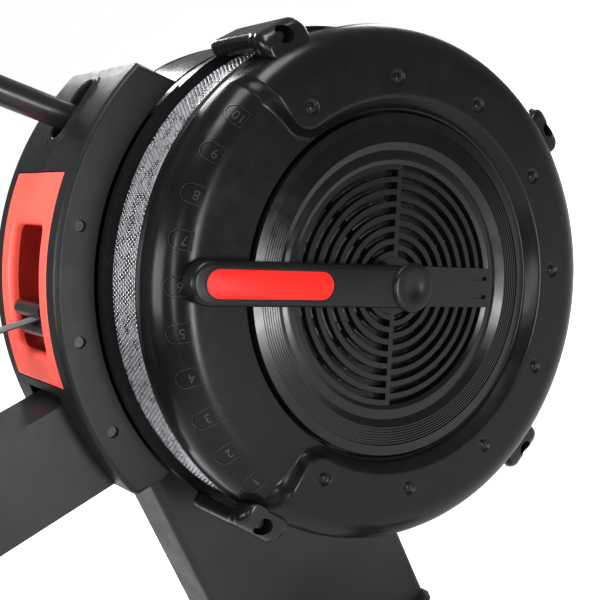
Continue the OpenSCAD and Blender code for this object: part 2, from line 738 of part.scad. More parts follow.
module handle_rest() color(charcoal) placed() {
    foot = on_slope(-handle_at - 5, beam_top);
    low = handle_pos[1] - bar_r - 0.4;
    both_sides() translate([0, 34, 0]) rotate([90, 0, 0]) linear_extrude(6) difference() {
        polygon([[foot[0] - 40, foot[1] - 12], [foot[0] + 40, foot[1] - 12], [foot[0] + 34, low - 20],
            [handle_pos[0] + 30, low + 24], [handle_pos[0] + 16, low + 24], [handle_pos[0] - 18, low],
            [handle_pos[0] - 26, low - 20]]);
        translate(handle_pos) rotate(-pull_angle) union() {
            circle(bar_r + 0.4);
            translate([-100, -bar_r - 0.4]) square([100, 2 * bar_r + 60]);
            translate([-bar_r, 0]) square([2 * bar_r + 0.4, 100]);
        }
        rotate(-rail_slope) translate([-900, beam_top - 60]) square([900, 60]);
    }
    sloped() span([-handle_at - 50, -36, beam_top], [-handle_at + 40, 36, beam_top + 4]);
}
function on_slope(x, z) = [x, z - x * tan(rail_slope)];

// ---- Footrests ----
module foot_frame() placed() sloped() translate([foot_low[0], 0, foot_low[1]]) rotate([0, -foot_tilt, 0]) children();
module footrest_frame() color(charcoal) placed() sloped() {
    for (p = [foot_low, foot_high]) translate([p[0], 0, p[1]]) rotate([90, 0, 0])
        rod(foot_tube_r, -foot_y - 40, foot_y + 40);
    difference() {
        span([foot_low[0] - 30, -40, foot_low[1] - 4], [foot_low[0] + 30, 40, beam_low]);
        translate([foot_low[0], 0, foot_low[1]]) rotate([90, 0, 0]) rod(foot_tube_r - 2, -60, 60);
    }
    difference() {
        span([foot_high[0] - 30, -40, beam_top], [foot_high[0] + 30, 40, foot_high[1] + 4]);
        translate([foot_high[0], 0, foot_high[1]]) rotate([90, 0, 0]) rod(foot_tube_r - 2, -60, 60);
    }
    both_sides() translate([0, fork_half + 4, 0]) rotate([90, 0, 0]) linear_extrude(4) polygon([
        foot_low + [-30, -4], foot_low + [30, -4], foot_high + [30, -10], foot_high + [30, 4],
        foot_high + [-30, 4], foot_high + [-30, -10]]);
}
module foot_plates() color(black) foot_frame() both_sides() translate([plate_low, foot_y, foot_tube_r])
    difference() {
        union() {
            translate([plate_len / 2, 0, 0]) rounded_bar([plate_len, plate_w], 14, plate_t);
            for (s = [-1, 1]) translate([plate_len / 2, s * (plate_w / 2 - 3), (plate_t + lip_h) / 2])
                cube([plate_len - 40, 4, plate_t + lip_h], center = true);
        }
        for (i = [0:5]) translate([plate_len - 40 - i * 16, 0, -1]) linear_extrude(20)
            rotate(90) pill(plate_w - 46, 6);
    }
module heel_cup() foot_frame() translate([plate_low, foot_y, foot_tube_r + plate_t + gap]) difference() {
    union() {
        translate([4, -cup_half, 0]) cube([104, 2 * cup_half, 4]);
        translate([48, 0, 0]) linear_extrude(34) difference() {
            circle(cup_half);
            circle(cup_half - 4);
            translate([0, -100]) square([200, 200]);
        }
        for (s = [-1, 1]) translate([48, s * (cup_half - 2) - 2, 0]) cube([60, 4, 20]);
    }
    translate([60, 0, -1]) linear_extrude(10) pill(60, 24);
}
module heel_cup_left() color(charcoal) heel_cup();
module heel_cup_right() color(charcoal) mirror([0, 1, 0]) heel_cup();
module foot_straps() color(black) foot_frame() both_sides()
    translate([strap_at, foot_y, foot_tube_r + plate_t / 2]) rotate([0, 90, 0]) difference() {
        tube(foot_strap_r + gap, foot_strap_r + gap + foot_strap_t, 0, foot_strap_w);
        translate([0, -100, -1]) cube([200, 200, foot_strap_w + 2]);
    }

// ---- Monitor ----
module monitor_arm() color(black) placed() {
    translate([arm_pivot[0], 0, arm_pivot[1]]) {
        rotate([0, -(arm_dir - 90), 0]) union() {
            difference() {
                cylinder(d = arm_d, h = arm_len);
                translate([0, 0, 18]) cylinder(d = arm_d - 4, h = arm_len - 40);
            }
            sphere(d = arm_d);
        }
        rotate([90, 0, 0]) rod(6, -casing_half + wall + 4, casing_half - wall - 4);
    }
    translate([console_end[0], 0, console_end[1]]) rotate([90, 0, 0]) union() {
        rod(10, -15, 15);
        rod(4, -26, 26);
    }
}
module console_frame() placed() translate([console_end[0], 0, console_end[1]]) rotate([0, console_tilt, 0]) children();
module console_box(w, h, t, r) translate([console_low + console_h / 2, 0, 0]) rounded_bar([h, w], r, t);
module console_housing() color(charcoal) console_frame() difference() {
    union() {
        difference() {
            translate([0, 0, -console_t / 2]) console_box(console_w, console_h, console_t - 6, 16);
            translate([0, 0, -console_t / 2 + wall])
                console_box(console_w - 2 * wall, console_h - 2 * wall, console_t, 13);
        }
        both_sides() {
            translate([0, 22, 0]) rotate([90, 0, 0]) linear_extrude(6) union() {
                circle(10);
                translate([0, -10]) square([console_low + 4, 10 + face_z]);
            }
        }
    }
    rotate([90, 0, 0]) rod(4 + fit, -40, 40);
}
face_z = console_t / 2 - 6;
module console_face() color(black) console_frame() translate([0, 0, face_z]) difference() {
    console_box(console_w, console_h, 6, 16);
    translate([screen_x, 0, 3]) rounded_bar([screen_size[0] + 0.4, screen_size[1] + 0.4], 5, 10);
    for (i = [-1:1]) translate([button_x, i * button_pitch, -1]) cylinder(r = button_r + fit, h = 20);
}
screen_size = [74, 140];
screen_x = console_low + console_h - 18 - screen_size[0] / 2;
button_x = console_low + 20;
module console_screen() color("#26323a") console_frame() translate([screen_x, 0, face_z + 3])
    rounded_bar(screen_size, 4.8, 2);
module button(i) color(red) console_frame() translate([button_x, i * button_pitch, face_z]) union() {
    cylinder(r = button_r, h = 9);
    translate([0, 0, -2]) cylinder(r = button_r + 2, h = 2);
}
module button_left() button(1);
module button_middle() button(0);
module button_right() button(-1);

// ---- Seat ----
module seat_frame() placed() sloped() translate([-seat_at, 0, 0]) children();
module seat_carriage() color(charcoal) seat_frame() difference() {
    union() {
        span([-110, -carriage_half, carriage_top], [110, carriage_half, carriage_top + side_t]);
        both_sides() span([-100, carriage_half - side_t, axle_up - 12],
            [100, carriage_half, carriage_top + side_t]);
        both_sides() span([-20, carriage_half - side_t, lower_z - 10],
            [20, carriage_half, carriage_top + side_t]);
        both_sides() translate([0, carriage_half - side_t, lower_z]) rotate([90, 0, 0])
            cylinder(r = 3, h = rail_w / 2 - rail_neck / 2 + 3);
    }
    for (x = [-wheel_gap, wheel_gap]) translate([x, 0, axle_up]) rotate([90, 0, 0]) rod(4 + fit, -100, 100);
}
module wheelset(x) seat_frame() translate([x, 0, axle_up]) rotate([90, 0, 0]) union() {
    rod(4, -carriage_half - 3, carriage_half + 3);
    for (s = [-1, 1]) translate([0, 0, s * (rail_w / 2 - track_w / 2) - 6]) cylinder(r = roller_r, h = 12);
}
module wheelset_front() color(silver) wheelset(wheel_gap);
module wheelset_rear() color(silver) wheelset(-wheel_gap);
module lower_rollers() color(silver) seat_frame() both_sides()
    translate([0, rail_neck / 2 + 1.5, lower_z]) rotate([-90, 0, 0])
        tube(3 + fit, lower_r, 0, rail_w / 2 - rail_neck / 2 + 1);
module seat_base() color(black) seat_frame() translate([0, 0, carriage_top + side_t])
    rounded_bar([seat_d - 20, seat_w - 20], 50, base_h);
module seat_pad() color(rubber) seat_frame() translate([0, 0, carriage_top + side_t + base_h]) difference() {
    rounded_bar([seat_d, seat_w], 60, pad_t);
    translate([-seat_d / 2 - 12, 0, -1]) cylinder(r = 34, h = pad_t + 2);
}

leg_post();
main_beam();
front_foot_bar();
foot_bar_caps();
rubber_feet();
transport_wheels();
frame_bolts();
seat_rail();
track_strips();
rail_end_cap();
rail_stops();
rear_leg();
rear_foot_bar();
axle_bearings();
fan_axle();
fan_hub();
fan_blades();
back_cover();
cage_band();
front_cover();
damper_shutter();
damper_disc();
damper_lever();
lever_insert();
hub_cap();
cage_clamps();
housing_screws();
left_cover();
casing_right();
casing_left();
dock_panel();
strap_spool();
one_way_clutch();
return_spring();
strap_wrap();
pull_strap();
guide_roller_upper();
guide_roller_lower();
handle_bar();
handle_grips();
handle_bracket();
handle_rest();
footrest_frame();
foot_plates();
heel_cup_left();
heel_cup_right();
foot_straps();
monitor_arm();
console_housing();
console_face();
console_screen();
button_left();
button_middle();
button_right();
seat_carriage();
wheelset_front();
wheelset_rear();
lower_rollers();
seat_base();
seat_pad();
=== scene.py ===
"""Looks of the air rowing machine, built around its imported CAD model."""
import json
import math

import bmesh
import bpy
from mathutils import Matrix, Vector


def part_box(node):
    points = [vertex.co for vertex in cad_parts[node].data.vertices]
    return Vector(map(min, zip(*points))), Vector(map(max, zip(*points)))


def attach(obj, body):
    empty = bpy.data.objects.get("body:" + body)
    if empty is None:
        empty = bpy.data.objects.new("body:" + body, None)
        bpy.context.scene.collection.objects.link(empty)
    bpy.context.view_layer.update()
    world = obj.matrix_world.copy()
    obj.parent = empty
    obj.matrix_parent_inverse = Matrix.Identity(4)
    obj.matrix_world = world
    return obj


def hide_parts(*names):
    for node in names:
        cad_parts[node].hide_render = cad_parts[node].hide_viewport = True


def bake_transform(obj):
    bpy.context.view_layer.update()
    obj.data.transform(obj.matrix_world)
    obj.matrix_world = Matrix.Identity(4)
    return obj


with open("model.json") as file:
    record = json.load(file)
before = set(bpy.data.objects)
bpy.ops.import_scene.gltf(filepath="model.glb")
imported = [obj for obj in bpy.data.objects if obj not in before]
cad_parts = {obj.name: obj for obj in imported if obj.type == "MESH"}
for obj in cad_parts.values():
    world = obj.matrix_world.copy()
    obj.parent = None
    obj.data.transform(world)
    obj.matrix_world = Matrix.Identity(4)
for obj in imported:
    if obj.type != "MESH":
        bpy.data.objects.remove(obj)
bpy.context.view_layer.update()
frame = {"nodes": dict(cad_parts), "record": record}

# ---- Sizes, in millimetres, as in the CAD model ----
MM = 0.001
BAND_LOW, BAND_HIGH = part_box("cage_band")
AXIS_X, AXIS_Z = (BAND_LOW.x + BAND_HIGH.x) / 2, (BAND_LOW.z + BAND_HIGH.z) / 2
CAGE_R, CAGE_IN, CAGE_OUT = 240, 93, 146
COVER_R, SHOULDER_R, FACE, SWEEP_DEPTH = 242, 32, 210, 13
LOW_FACE = FACE - SWEEP_DEPTH
WELL_R, WELL_FOOT_R, DISC_GAP_R = 172.6, 164, 162
LEVER_ANGLE, LEVER_REACH, LEVER_W = 150, 228, 38
LEVER_BASE, LEVER_TOP = 202.8, 221
CASING_IN, CASING_R, CASING_HALF = 250.4, 289, 79
CASING_TOP, CASING_DROP = 107.7, 82
PANEL_TOP, PANEL_LOW, PANEL_HALF = 132, 172.3, 59
WINDOW_TOP, WINDOW_LOW, WINDOW_HALF = 142, 166.5, 37
SLOT_MID, SLOT_HALF_DEG, SLOT_HALF = 118.6, 7.3, 17.5
SCREW_R, SCREW_ANGLES = 269.7, (141.3, 163.6, 182.9)
CLAMP_ANGLES = (91.5, 209.5, 10.5, -71.5)
INNER_TOP, BEAM_FROM, BEAM_ROOM = 105.2, 174.5, 40
PULL_ANGLE, WOUND_R, HANDLE_AT = math.radians(12), 38, 450
RAIL_SLOPE = math.radians(2)


def spoke(r, angle):
    """The end of a line of length r, at an angle in degrees."""
    return r * math.cos(math.radians(angle)), r * math.sin(math.radians(angle))


def at(r, angle, t):
    """Point at radius r and angle (from forward towards up) round the fan's axis, t to the right."""
    a = math.radians(angle)
    return Vector((AXIS_X + r * math.cos(a) * MM, -t * MM, AXIS_Z + r * math.sin(a) * MM))


# ---- Mesh helpers ----
def build(name, verts, faces, finish, sharp=40):
    mesh = bpy.data.meshes.new(name)
    mesh.from_pydata([tuple(v) for v in verts], [], faces)
    bm = bmesh.new()
    bm.from_mesh(mesh)
    bmesh.ops.remove_doubles(bm, verts=bm.verts, dist=1e-6)
    bmesh.ops.recalc_face_normals(bm, faces=bm.faces)
    bm.to_mesh(mesh)
    bm.free()
    mesh.polygons.foreach_set("use_smooth", [True] * len(mesh.polygons))
    mesh.set_sharp_from_angle(angle=math.radians(sharp))
    piece = bpy.data.objects.new(name, mesh)
    bpy.context.scene.collection.objects.link(piece)
    mesh.materials.append(finish)
    return piece


def grid_faces(rows, columns, closed_rows=False, closed_columns=False, keep=None, first=0):
    faces = []
    for i in range(rows if closed_rows else rows - 1):
        for j in range(columns if closed_columns else columns - 1):
            if keep and not keep(i, j):
                continue
            i1, j1 = (i + 1) % rows, (j + 1) % columns
            faces.append([first + i * columns + j, first + i * columns + j1,
                          first + i1 * columns + j1, first + i1 * columns + j])
    return faces


def loft(name, loops, finish, caps=True, closed=False, sharp=40):
    """Skin over loops that have the same number of points."""
    n = len(loops[0])
    verts = [p for loop in loops for p in loop]
    faces = grid_faces(len(loops), n, closed_rows=closed, closed_columns=True)
    if caps and not closed:
        faces += [list(range(n)), list(range(len(verts) - n, len(verts)))]
    return build(name, verts, faces, finish, sharp)


def rounded_rect(width, height, radius, steps=5):
    """Closed outline, anticlockwise, with round corners."""
    points = []
    for cx, cy, start in ((1, 1, 0), (-1, 1, 90), (-1, -1, 180), (1, -1, 270)):
        for k in range(steps + 1):
            a = math.radians(start + 90 * k / steps)
            points.append((cx * (width / 2 - radius) + radius * math.cos(a),
                           cy * (height / 2 - radius) + radius * math.sin(a)))
    return points


def pill_outline(x0, x1, width, steps=16):
    """Outline of a bar with round ends, from x0 to x1."""
    r = width / 2
    points = []
    for centre, start in ((x1 - r, -90), (x0 + r, 90)):
        for k in range(steps + 1):
            a = math.radians(start + 180 * k / steps)
            points.append((centre + r * math.cos(a), r * math.sin(a)))
    return points


def inset(points, distance):
    """Moves a closed anticlockwise outline inwards."""
    moved = []
    for k, p in enumerate(points):
        before, after = Vector(points[k - 1]), Vector(points[(k + 1) % len(points)])
        here = Vector(p)
        d0, d1 = (here - before), (after - here)
        d0 = d0.normalized() if d0.length > 1e-9 else d1.normalized()
        d1 = d1.normalized() if d1.length > 1e-9 else d0
        n0, n1 = Vector((-d0.y, d0.x)), Vector((-d1.y, d1.x))
        n = (n0 + n1).normalized()
        moved.append(tuple(here + n * distance / max(0.5, n.dot(n0))))
    return moved


def slab(name, outline, low, high, radius, finish, place, steps=4):
    """Plate with a rounded upper rim: outline in the plate's plane, place maps (x, y, z) to the frame."""
    loops = [[place(x, y, low) for x, y in outline]]
    for k in range(steps + 1):
        a = math.radians(90 * k / steps)
        ring = inset(outline, radius * (1 - math.cos(a)))
        loops.append([place(x, y, high - radius + radius * math.sin(a)) for x, y in ring])
    return loft(name, loops, finish, sharp=50)


def solidify(piece, thickness, offset=-1.0):
    mod = piece.modifiers.new("thickness", "SOLIDIFY")
    mod.thickness, mod.offset = thickness * MM, offset
    mod.use_even_offset = False


def soften(node, width):
    """Rounds the edges of a CAD node with a modifier."""
    mod = frame["nodes"][node].modifiers.new("edges", "BEVEL")
    mod.width, mod.segments, mod.limit_method = width * MM, 2, "ANGLE"
    mod.angle_limit, mod.use_clamp_overlap = math.radians(35), True
    mod.harden_normals = False


def apply_modifiers(piece):
    dg = bpy.context.evaluated_depsgraph_get()
    mesh = bpy.data.meshes.new_from_object(piece.evaluated_get(dg))
    piece.modifiers.clear()
    piece.data = mesh


def cut_away(piece, cutters):
    """Takes the cutters' shapes out of a piece, and the cutters out of the scene."""
    for cutter in cutters:
        cut = piece.modifiers.new("screw_hole", "BOOLEAN")
        cut.operation, cut.object, cut.solver = "DIFFERENCE", cutter, "EXACT"
    apply_modifiers(piece)
    for cutter in cutters:
        bpy.data.objects.remove(cutter)


def smooth_all(piece):
    piece.data.polygons.foreach_set("use_smooth", [True] * len(piece.data.polygons))


def even_shading(piece, angle):
    """Smooth shading that keeps large flat faces flat."""
    smooth_all(piece)
    piece.data.set_sharp_from_angle(angle=math.radians(angle))
    mod = piece.modifiers.new("shading", "WEIGHTED_NORMAL")
    mod.keep_sharp, mod.weight = True, 100


def adopt(piece, body, slot, *nodes):
    """The piece rides on a body and stands for CAD nodes, which are hidden; the slot is not used."""
    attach(piece, body)
    if nodes:
        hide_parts(*nodes)


# ---- Materials ----
def blank(name):
    mat = bpy.data.materials.new(name)
    mat.use_nodes = True
    tree = mat.node_tree
    shader = tree.nodes["Principled BSDF"]
    coords = tree.nodes.new("ShaderNodeTexCoord")
    return mat, tree, shader, coords


def put(node, **values):
    """Sets inputs of a shader node: an underscore in a name stands for a space."""
    for name, value in values.items():
        node.inputs[name.replace("_", " ")].default_value = value


def noise(tree, coords, scale, detail=3.0, stretch=None):
    tex = tree.nodes.new("ShaderNodeTexNoise")
    put(tex, Scale=scale, Detail=detail)
    vector = coords.outputs["Object"]
    if stretch:
        mapping = tree.nodes.new("ShaderNodeMapping")
        put(mapping, Scale=stretch)
        tree.links.new(vector, mapping.inputs["Vector"])
        vector = mapping.outputs["Vector"]
    tree.links.new(vector, tex.inputs["Vector"])
    return tex.outputs["Fac"]


def ranged(tree, value, low, high, from_low=0.3, from_high=0.7):
    node = tree.nodes.new("ShaderNodeMapRange")
    put(node, From_Min=from_low, From_Max=from_high, To_Min=low, To_Max=high)
    tree.links.new(value, node.inputs["Value"])
    return node.outputs["Result"]


def two_tone(tree, shader, factor, color, change):
    """Colour that drifts a little from place to place."""
    mix = tree.nodes.new("ShaderNodeMix")
    mix.data_type = "RGBA"
    put(mix, A=(*[c * (1 - change) for c in color], 1),
        B=(*[min(1, c * (1 + change)) for c in color], 1))
    tree.links.new(ranged(tree, factor, 0, 1), mix.inputs["Factor"])
    tree.links.new(mix.outputs["Result"], shader.inputs["Base Color"])


def bump(tree, shader, height, strength, distance):
    node = tree.nodes.new("ShaderNodeBump")
    put(node, Strength=strength, Distance=distance)
    tree.links.new(height, node.inputs["Height"])
    tree.links.new(node.outputs["Normal"], shader.inputs["Normal"])


def moulded(name, color, rough, grain, depth=0.00005, spec=0.4, metal=0.0, coat=0.0, change=0.15):
    """Moulded plastic, paint or rubber with a fine grain."""
    mat, tree, shader, coords = blank(name)
    put(shader, Specular_IOR_Level=spec, Metallic=metal, Coat_Weight=coat, Coat_Roughness=0.15)
    two_tone(tree, shader, noise(tree, coords, 14, 5), color, change)
    gloss = ranged(tree, noise(tree, coords, 60, 4), rough - 0.05, rough + 0.05)
    tree.links.new(gloss, shader.inputs["Roughness"])
    bump(tree, shader, noise(tree, coords, 1 / (grain * MM), 2), 0.35, depth)
    return mat


def brushed(name, color, rough, stretch=(6, 700, 700)):
    """Metal brushed along X unless stretch says otherwise."""
    mat, tree, shader, coords = blank(name)
    put(shader, Metallic=1.0)
    lines = noise(tree, coords, 1.0, 2, stretch)
    two_tone(tree, shader, lines, color, 0.12)
    tree.links.new(ranged(tree, lines, rough - 0.08, rough + 0.1), shader.inputs["Roughness"])
    bump(tree, shader, lines, 0.15, 0.00003)
    return mat


def woven(name, color, pitch):
    """Nylon webbing: crossed ribs of yarn."""
    mat, tree, shader, coords = blank(name)
    put(shader, Specular_IOR_Level=0.25, Sheen_Weight=0.35, Sheen_Roughness=0.5)
    heights = []
    for axis in ("X", "Y"):
        wave = tree.nodes.new("ShaderNodeTexWave")
        wave.bands_direction = axis
        put(wave, Scale=0.314 / (pitch * MM))
        tree.links.new(coords.outputs["Object"], wave.inputs["Vector"])
        heights.append(wave.outputs["Fac"])
    product = tree.nodes.new("ShaderNodeMath")
    product.operation = "MULTIPLY"
    tree.links.new(heights[0], product.inputs[0])
    tree.links.new(heights[1], product.inputs[1])
    # colour follows the weave's height: lighter on the rib tops, darker in the hollows between them, painted
    # light and shade
    two_tone(tree, shader, product.outputs["Value"], color, 0.5)
    tree.links.new(ranged(tree, heights[0], 0.65, 0.85, 0, 1), shader.inputs["Roughness"])
    bump(tree, shader, product.outputs["Value"], 0.6, 0.0004)
    return mat


def vinyl(name, color):
    """Grained vinyl: creased cells with soft tops."""
    mat, tree, shader, coords = blank(name)
    put(shader, Specular_IOR_Level=0.4)
    cells = tree.nodes.new("ShaderNodeTexVoronoi")
    cells.feature = "DISTANCE_TO_EDGE"
    put(cells, Scale=420)
    tree.links.new(coords.outputs["Object"], cells.inputs["Vector"])
    two_tone(tree, shader, noise(tree, coords, 22, 4), color, 0.25)
    tree.links.new(ranged(tree, cells.outputs["Distance"], 0.6, 0.42, 0, 0.3), shader.inputs["Roughness"])
    bump(tree, shader, ranged(tree, cells.outputs["Distance"], 0, 1, 0, 0.25), 0.5, 0.00025)
    return mat


# A finish for every material slot of the record, and for what only the pictures show
MAT = {
    "cover_plastic": moulded("satin_black_cover", (0.0045, 0.0046, 0.0048), 0.24, 0.9, 0.00002,
        spec=0.13),
    "casing_plastic": moulded("charcoal_casing", (0.0085, 0.0087, 0.0095), 0.42, 0.7, 0.00006,
        spec=0.16),
    "disc_plastic": moulded("satin_black_disc", (0.0045, 0.0046, 0.0048), 0.30, 0.8, 0.00002,
        spec=0.16),
    "clamp_plastic": moulded("satin_black_clamp", (0.005, 0.005, 0.0055), 0.22, 0.9, 0.00002,
        spec=0.22),
    "frame_paint": moulded("charcoal_powder_coat", (0.013, 0.0133, 0.015), 0.42, 0.5, 0.00008,
        spec=0.18),
    "arm_paint": moulded("black_tube_paint", (0.009, 0.0092, 0.010), 0.30, 0.6, 0.00002, spec=0.3),
    # lighter grey than the cover plastic: the figures' marking colour, and painted highlight on the pad
    # beads
    "number_marks_and_highlight": moulded("number_marks_and_highlight", (0.018, 0.0185, 0.020), 0.27, 0.8, 0.00002, spec=0.4),
    # near-black copy of the cover plastic: painted shade for the grooves round the number pads
    "painted_groove_shade": moulded("painted_groove_shade_black", (0.0006, 0.0006, 0.0006), 0.7, 0.9, 0.00002, spec=0.02),
    "red_insert": moulded("red_lever_insert", (0.62, 0.010, 0.007), 0.42, 0.9, 0.00003, spec=0.12,
        change=0.05),
    "red_panel": moulded("bright_red_panel", (0.98, 0.105, 0.075), 0.42, 0.9, 0.00004, spec=0.25,
        change=0.05),
    # darker copy of the red panel plastic: painted shade inside the window's tunnel
    "red_tunnel_shade": moulded("shaded_red_tunnel", (0.22, 0.008, 0.006), 0.45, 0.9, 0.00004, spec=0.3,
        change=0.1),
    "red_button": moulded("soft_red_button", (0.55, 0.015, 0.01), 0.5, 0.5, spec=0.3),
    "cap_rubber": moulded("matt_black_rubber", (0.016, 0.016, 0.016), 0.62, 0.6, 0.0001, spec=0.3),
    "wheel_rubber": moulded("wheel_rubber", (0.02, 0.02, 0.02), 0.58, 0.7, 0.0001, spec=0.3),
    "grip_foam": moulded("closed_cell_foam", (0.014, 0.014, 0.014), 0.8, 0.9, 0.0004, spec=0.2,
        change=0.4),
    "footplate_plastic": moulded("footplate_plastic", (0.02, 0.02, 0.022), 0.5, 0.6, 0.0001),
    "heel_plastic": moulded("heel_cup_plastic", (0.045, 0.045, 0.05), 0.45, 0.7, 0.00008),
    "console_plastic": moulded("console_plastic", (0.026, 0.026, 0.029), 0.5, 0.6, 0.0001),
    "console_gloss": moulded("gloss_black_face", (0.008, 0.008, 0.009), 0.12, 3.0, 0.00001,
        spec=0.5, coat=0.4),
    "screen_glass": moulded("display_window", (0.10, 0.125, 0.115), 0.1, 3.0, 0.00001, spec=0.5,
        coat=0.6, change=0.06),
    "roller_nylon": moulded("cast_nylon", (0.62, 0.62, 0.59), 0.42, 0.8, 0.00005, change=0.05),
    "seat_tray": moulded("seat_tray_plastic", (0.018, 0.018, 0.018), 0.5, 0.7, 0.0001),
    "black_screw": moulded("black_oxide_steel", (0.03, 0.03, 0.032), 0.35, 0.7, metal=0.8),
    "seat_vinyl": vinyl("grained_vinyl", (0.016, 0.016, 0.018)),
    "webbing": woven("nylon_webbing", (0.016, 0.016, 0.018), 1.6),
    "rail_aluminium": brushed("brushed_aluminium", (0.70, 0.71, 0.72), 0.30),
    "cast_aluminium": brushed("cast_aluminium", (0.60, 0.61, 0.63), 0.42, (90, 90, 90)),
    "stainless": brushed("stainless_steel", (0.62, 0.62, 0.62), 0.26, (500, 8, 500)),
    "zinc": brushed("zinc_plate", (0.58, 0.59, 0.61), 0.34, (120, 120, 120)),
    "spring_steel": brushed("spring_steel", (0.38, 0.39, 0.42), 0.3, (200, 20, 200)),
    # black oxide on the rollers; on the housing screws the same dark finish is painted shade
    "roller_chrome": moulded("black_oxide_and_screw_well_shade", (0.03, 0.03, 0.033), 0.25, 0.8, metal=0.7),
    "cage_steel": brushed("perforated_steel", (0.62, 0.61, 0.65), 0.28, (90, 90, 90)),
}


def paint(piece, finish):
    piece.data.materials.clear()
    piece.data.materials.append(finish)


def finish_cad_nodes():
    """Every CAD node takes the finish of its slot in the record; the housing screws take the dark roller
    finish, painted shade of their deep wells.
    """
    for row in frame["record"]["subparts"]:
        piece = frame["nodes"][row["node"]]
        paint(piece, MAT[row["material_slot"]])
    # dark finish on the housing screws: painted shade of the wells round them
    paint(frame["nodes"]["housing_screws"], MAT["roller_chrome"])


def tilt_disc_ring():
    """The disc's grooved ring is slightly dished: its shading normal leans outwards by this much."""
    ring_from, ring_full, outward = 0.116, 0.122, 0.20
    piece = frame["nodes"]["damper_disc"]
    mat = moulded("dished_disc", (0.0040, 0.0041, 0.0044), 0.19, 0.9, 0.00002, spec=0.22)
    tree = mat.node_tree
    where = tree.nodes.new("ShaderNodeNewGeometry")

    def vector_math(kind, first, second=None, value=None):
        node = tree.nodes.new("ShaderNodeVectorMath")
        node.operation = kind
        tree.links.new(first, node.inputs[0])
        if second is not None:
            tree.links.new(second, node.inputs[1])
        if value is not None:
            node.inputs[1].default_value = value
        return node
    from_axis = vector_math("SUBTRACT", where.outputs["Position"], value=(AXIS_X, 0, AXIS_Z))
    radial = vector_math("MULTIPLY", from_axis.outputs["Vector"], value=(1, 0, 1))
    radius = vector_math("LENGTH", radial.outputs["Vector"])
    share = tree.nodes.new("ShaderNodeMapRange")
    put(share, From_Min=ring_from, From_Max=ring_full, To_Max=outward)
    tree.links.new(radius.outputs["Value"], share.inputs["Value"])
    unit = vector_math("NORMALIZE", radial.outputs["Vector"])
    lean = vector_math("SCALE", unit.outputs["Vector"])
    tree.links.new(share.outputs["Result"], lean.inputs["Scale"])
    total = vector_math("ADD", where.outputs["Normal"], lean.outputs["Vector"])
    turned = vector_math("NORMALIZE", total.outputs["Vector"])
    for node in tree.nodes:
        if node.type == "BUMP":
            tree.links.new(turned.outputs["Vector"], node.inputs["Normal"])
    paint(piece, mat)


# Width of the rounded edges of the CAD nodes that are shown as they are
EDGES = {"leg_post": 1.5, "main_beam": 1.2, "front_foot_bar": 2, "rear_foot_bar": 2, "rail_end_cap": 1.5,
         "handle_rest": 1.2, "footrest_frame": 1, "foot_plates": 1.5, "heel_cup_left": 1.5,
         "heel_cup_right": 1.5, "console_housing": 2, "console_face": 1, "button_left": 0.6,
         "button_middle": 0.6, "button_right": 0.6, "seat_base": 1.5, "seat_carriage": 0.8, "rear_leg": 1.2,
         "foot_bar_caps": 1.5, "handle_bracket": 0.8, "rail_stops": 0.8}


# ---- Front cover ----
def notch_edge(r, line, side, well, corner):
    """Angle, at radius r, of a straight radial edge that rounds into the circle of the well."""
    centre = well + corner
    turn = math.degrees(math.asin(corner / centre))
    if r >= math.sqrt(centre ** 2 - corner ** 2):
        return line
    if r <= well:
        return line + side * turn
    swing = math.degrees(math.acos((r * r + centre ** 2 - corner ** 2) / (2 * r * centre)))
    return line + side * (turn - swing)


# Each end of the lever's sweep: its angle, the way it faces and the spread of its foot
NOTCHES = {"upper": (103.0, -1, 2.3), "lower": (208.5, 1, -2.6)}
DIMPLE_R, DIMPLE_FIRST, DIMPLE_STEP, DIMPLES = 190.3, 96.7, 30.16, 9
DIMPLE_EDGE, DIMPLE_SLOPE, DOME_R = 7.6, 2.4, 4.6


def top_edge(r, which):
    line, side, _ = NOTCHES[which]
    return notch_edge(r, line, side, WELL_R, 22)


def floor_edge(r, which):
    line, side, foot = NOTCHES[which]
    spread = min(1, max(0.35, (r - 178) / 40))
    return notch_edge(r, line + foot * spread, side, DISC_GAP_R, 26)


def cover_rows():
    """(r, height of the raised part, height of the swept part) from the band to the disc."""
    rows = [(239.4, 146.2), (242.7, 146.2), (243.2, 147), (243.2, 148.7), (242.6, 149.4), (241.2, 149.8),
            (240.9, 150.6), (241.4, 151.4), (COVER_R, 152.6)]
    side_start = rows[-1][1]
    rows = [(r, t, t) for r, t in rows]
    start = FACE - SHOULDER_R
    for share in (0.33, 0.66):
        rows.append((COVER_R, side_start + share * (start - side_start),
                     side_start + share * (start - SWEEP_DEPTH - side_start)))
    for k in range(19):
        a = math.radians(5 * k)
        t = start + SHOULDER_R * math.sin(a)
        rows.append((COVER_R - SHOULDER_R + SHOULDER_R * math.cos(a), t, t - SWEEP_DEPTH))
    flat = [207, 204, 201.5] + [200 - 0.85 * k for k in range(23)] + [178.5, 176.5]
    rows += [(r, FACE, LOW_FACE) for r in flat]
    for r, t in ((175.2, FACE - 0.15), (173.8, FACE - 0.7), (WELL_R, FACE - 1.9),
                 (WELL_FOOT_R + 1.4, LOW_FACE + 1.9), (WELL_FOOT_R + 0.4, LOW_FACE + 0.6),
                 (WELL_FOOT_R - 0.6, LOW_FACE)):
        rows.append((r, t, LOW_FACE))
    for r, drop in ((DISC_GAP_R + 0.4, 0.1), (DISC_GAP_R, 0.6), (DISC_GAP_R, 12)):
        rows.append((r, LOW_FACE - drop, LOW_FACE - drop))
    return rows


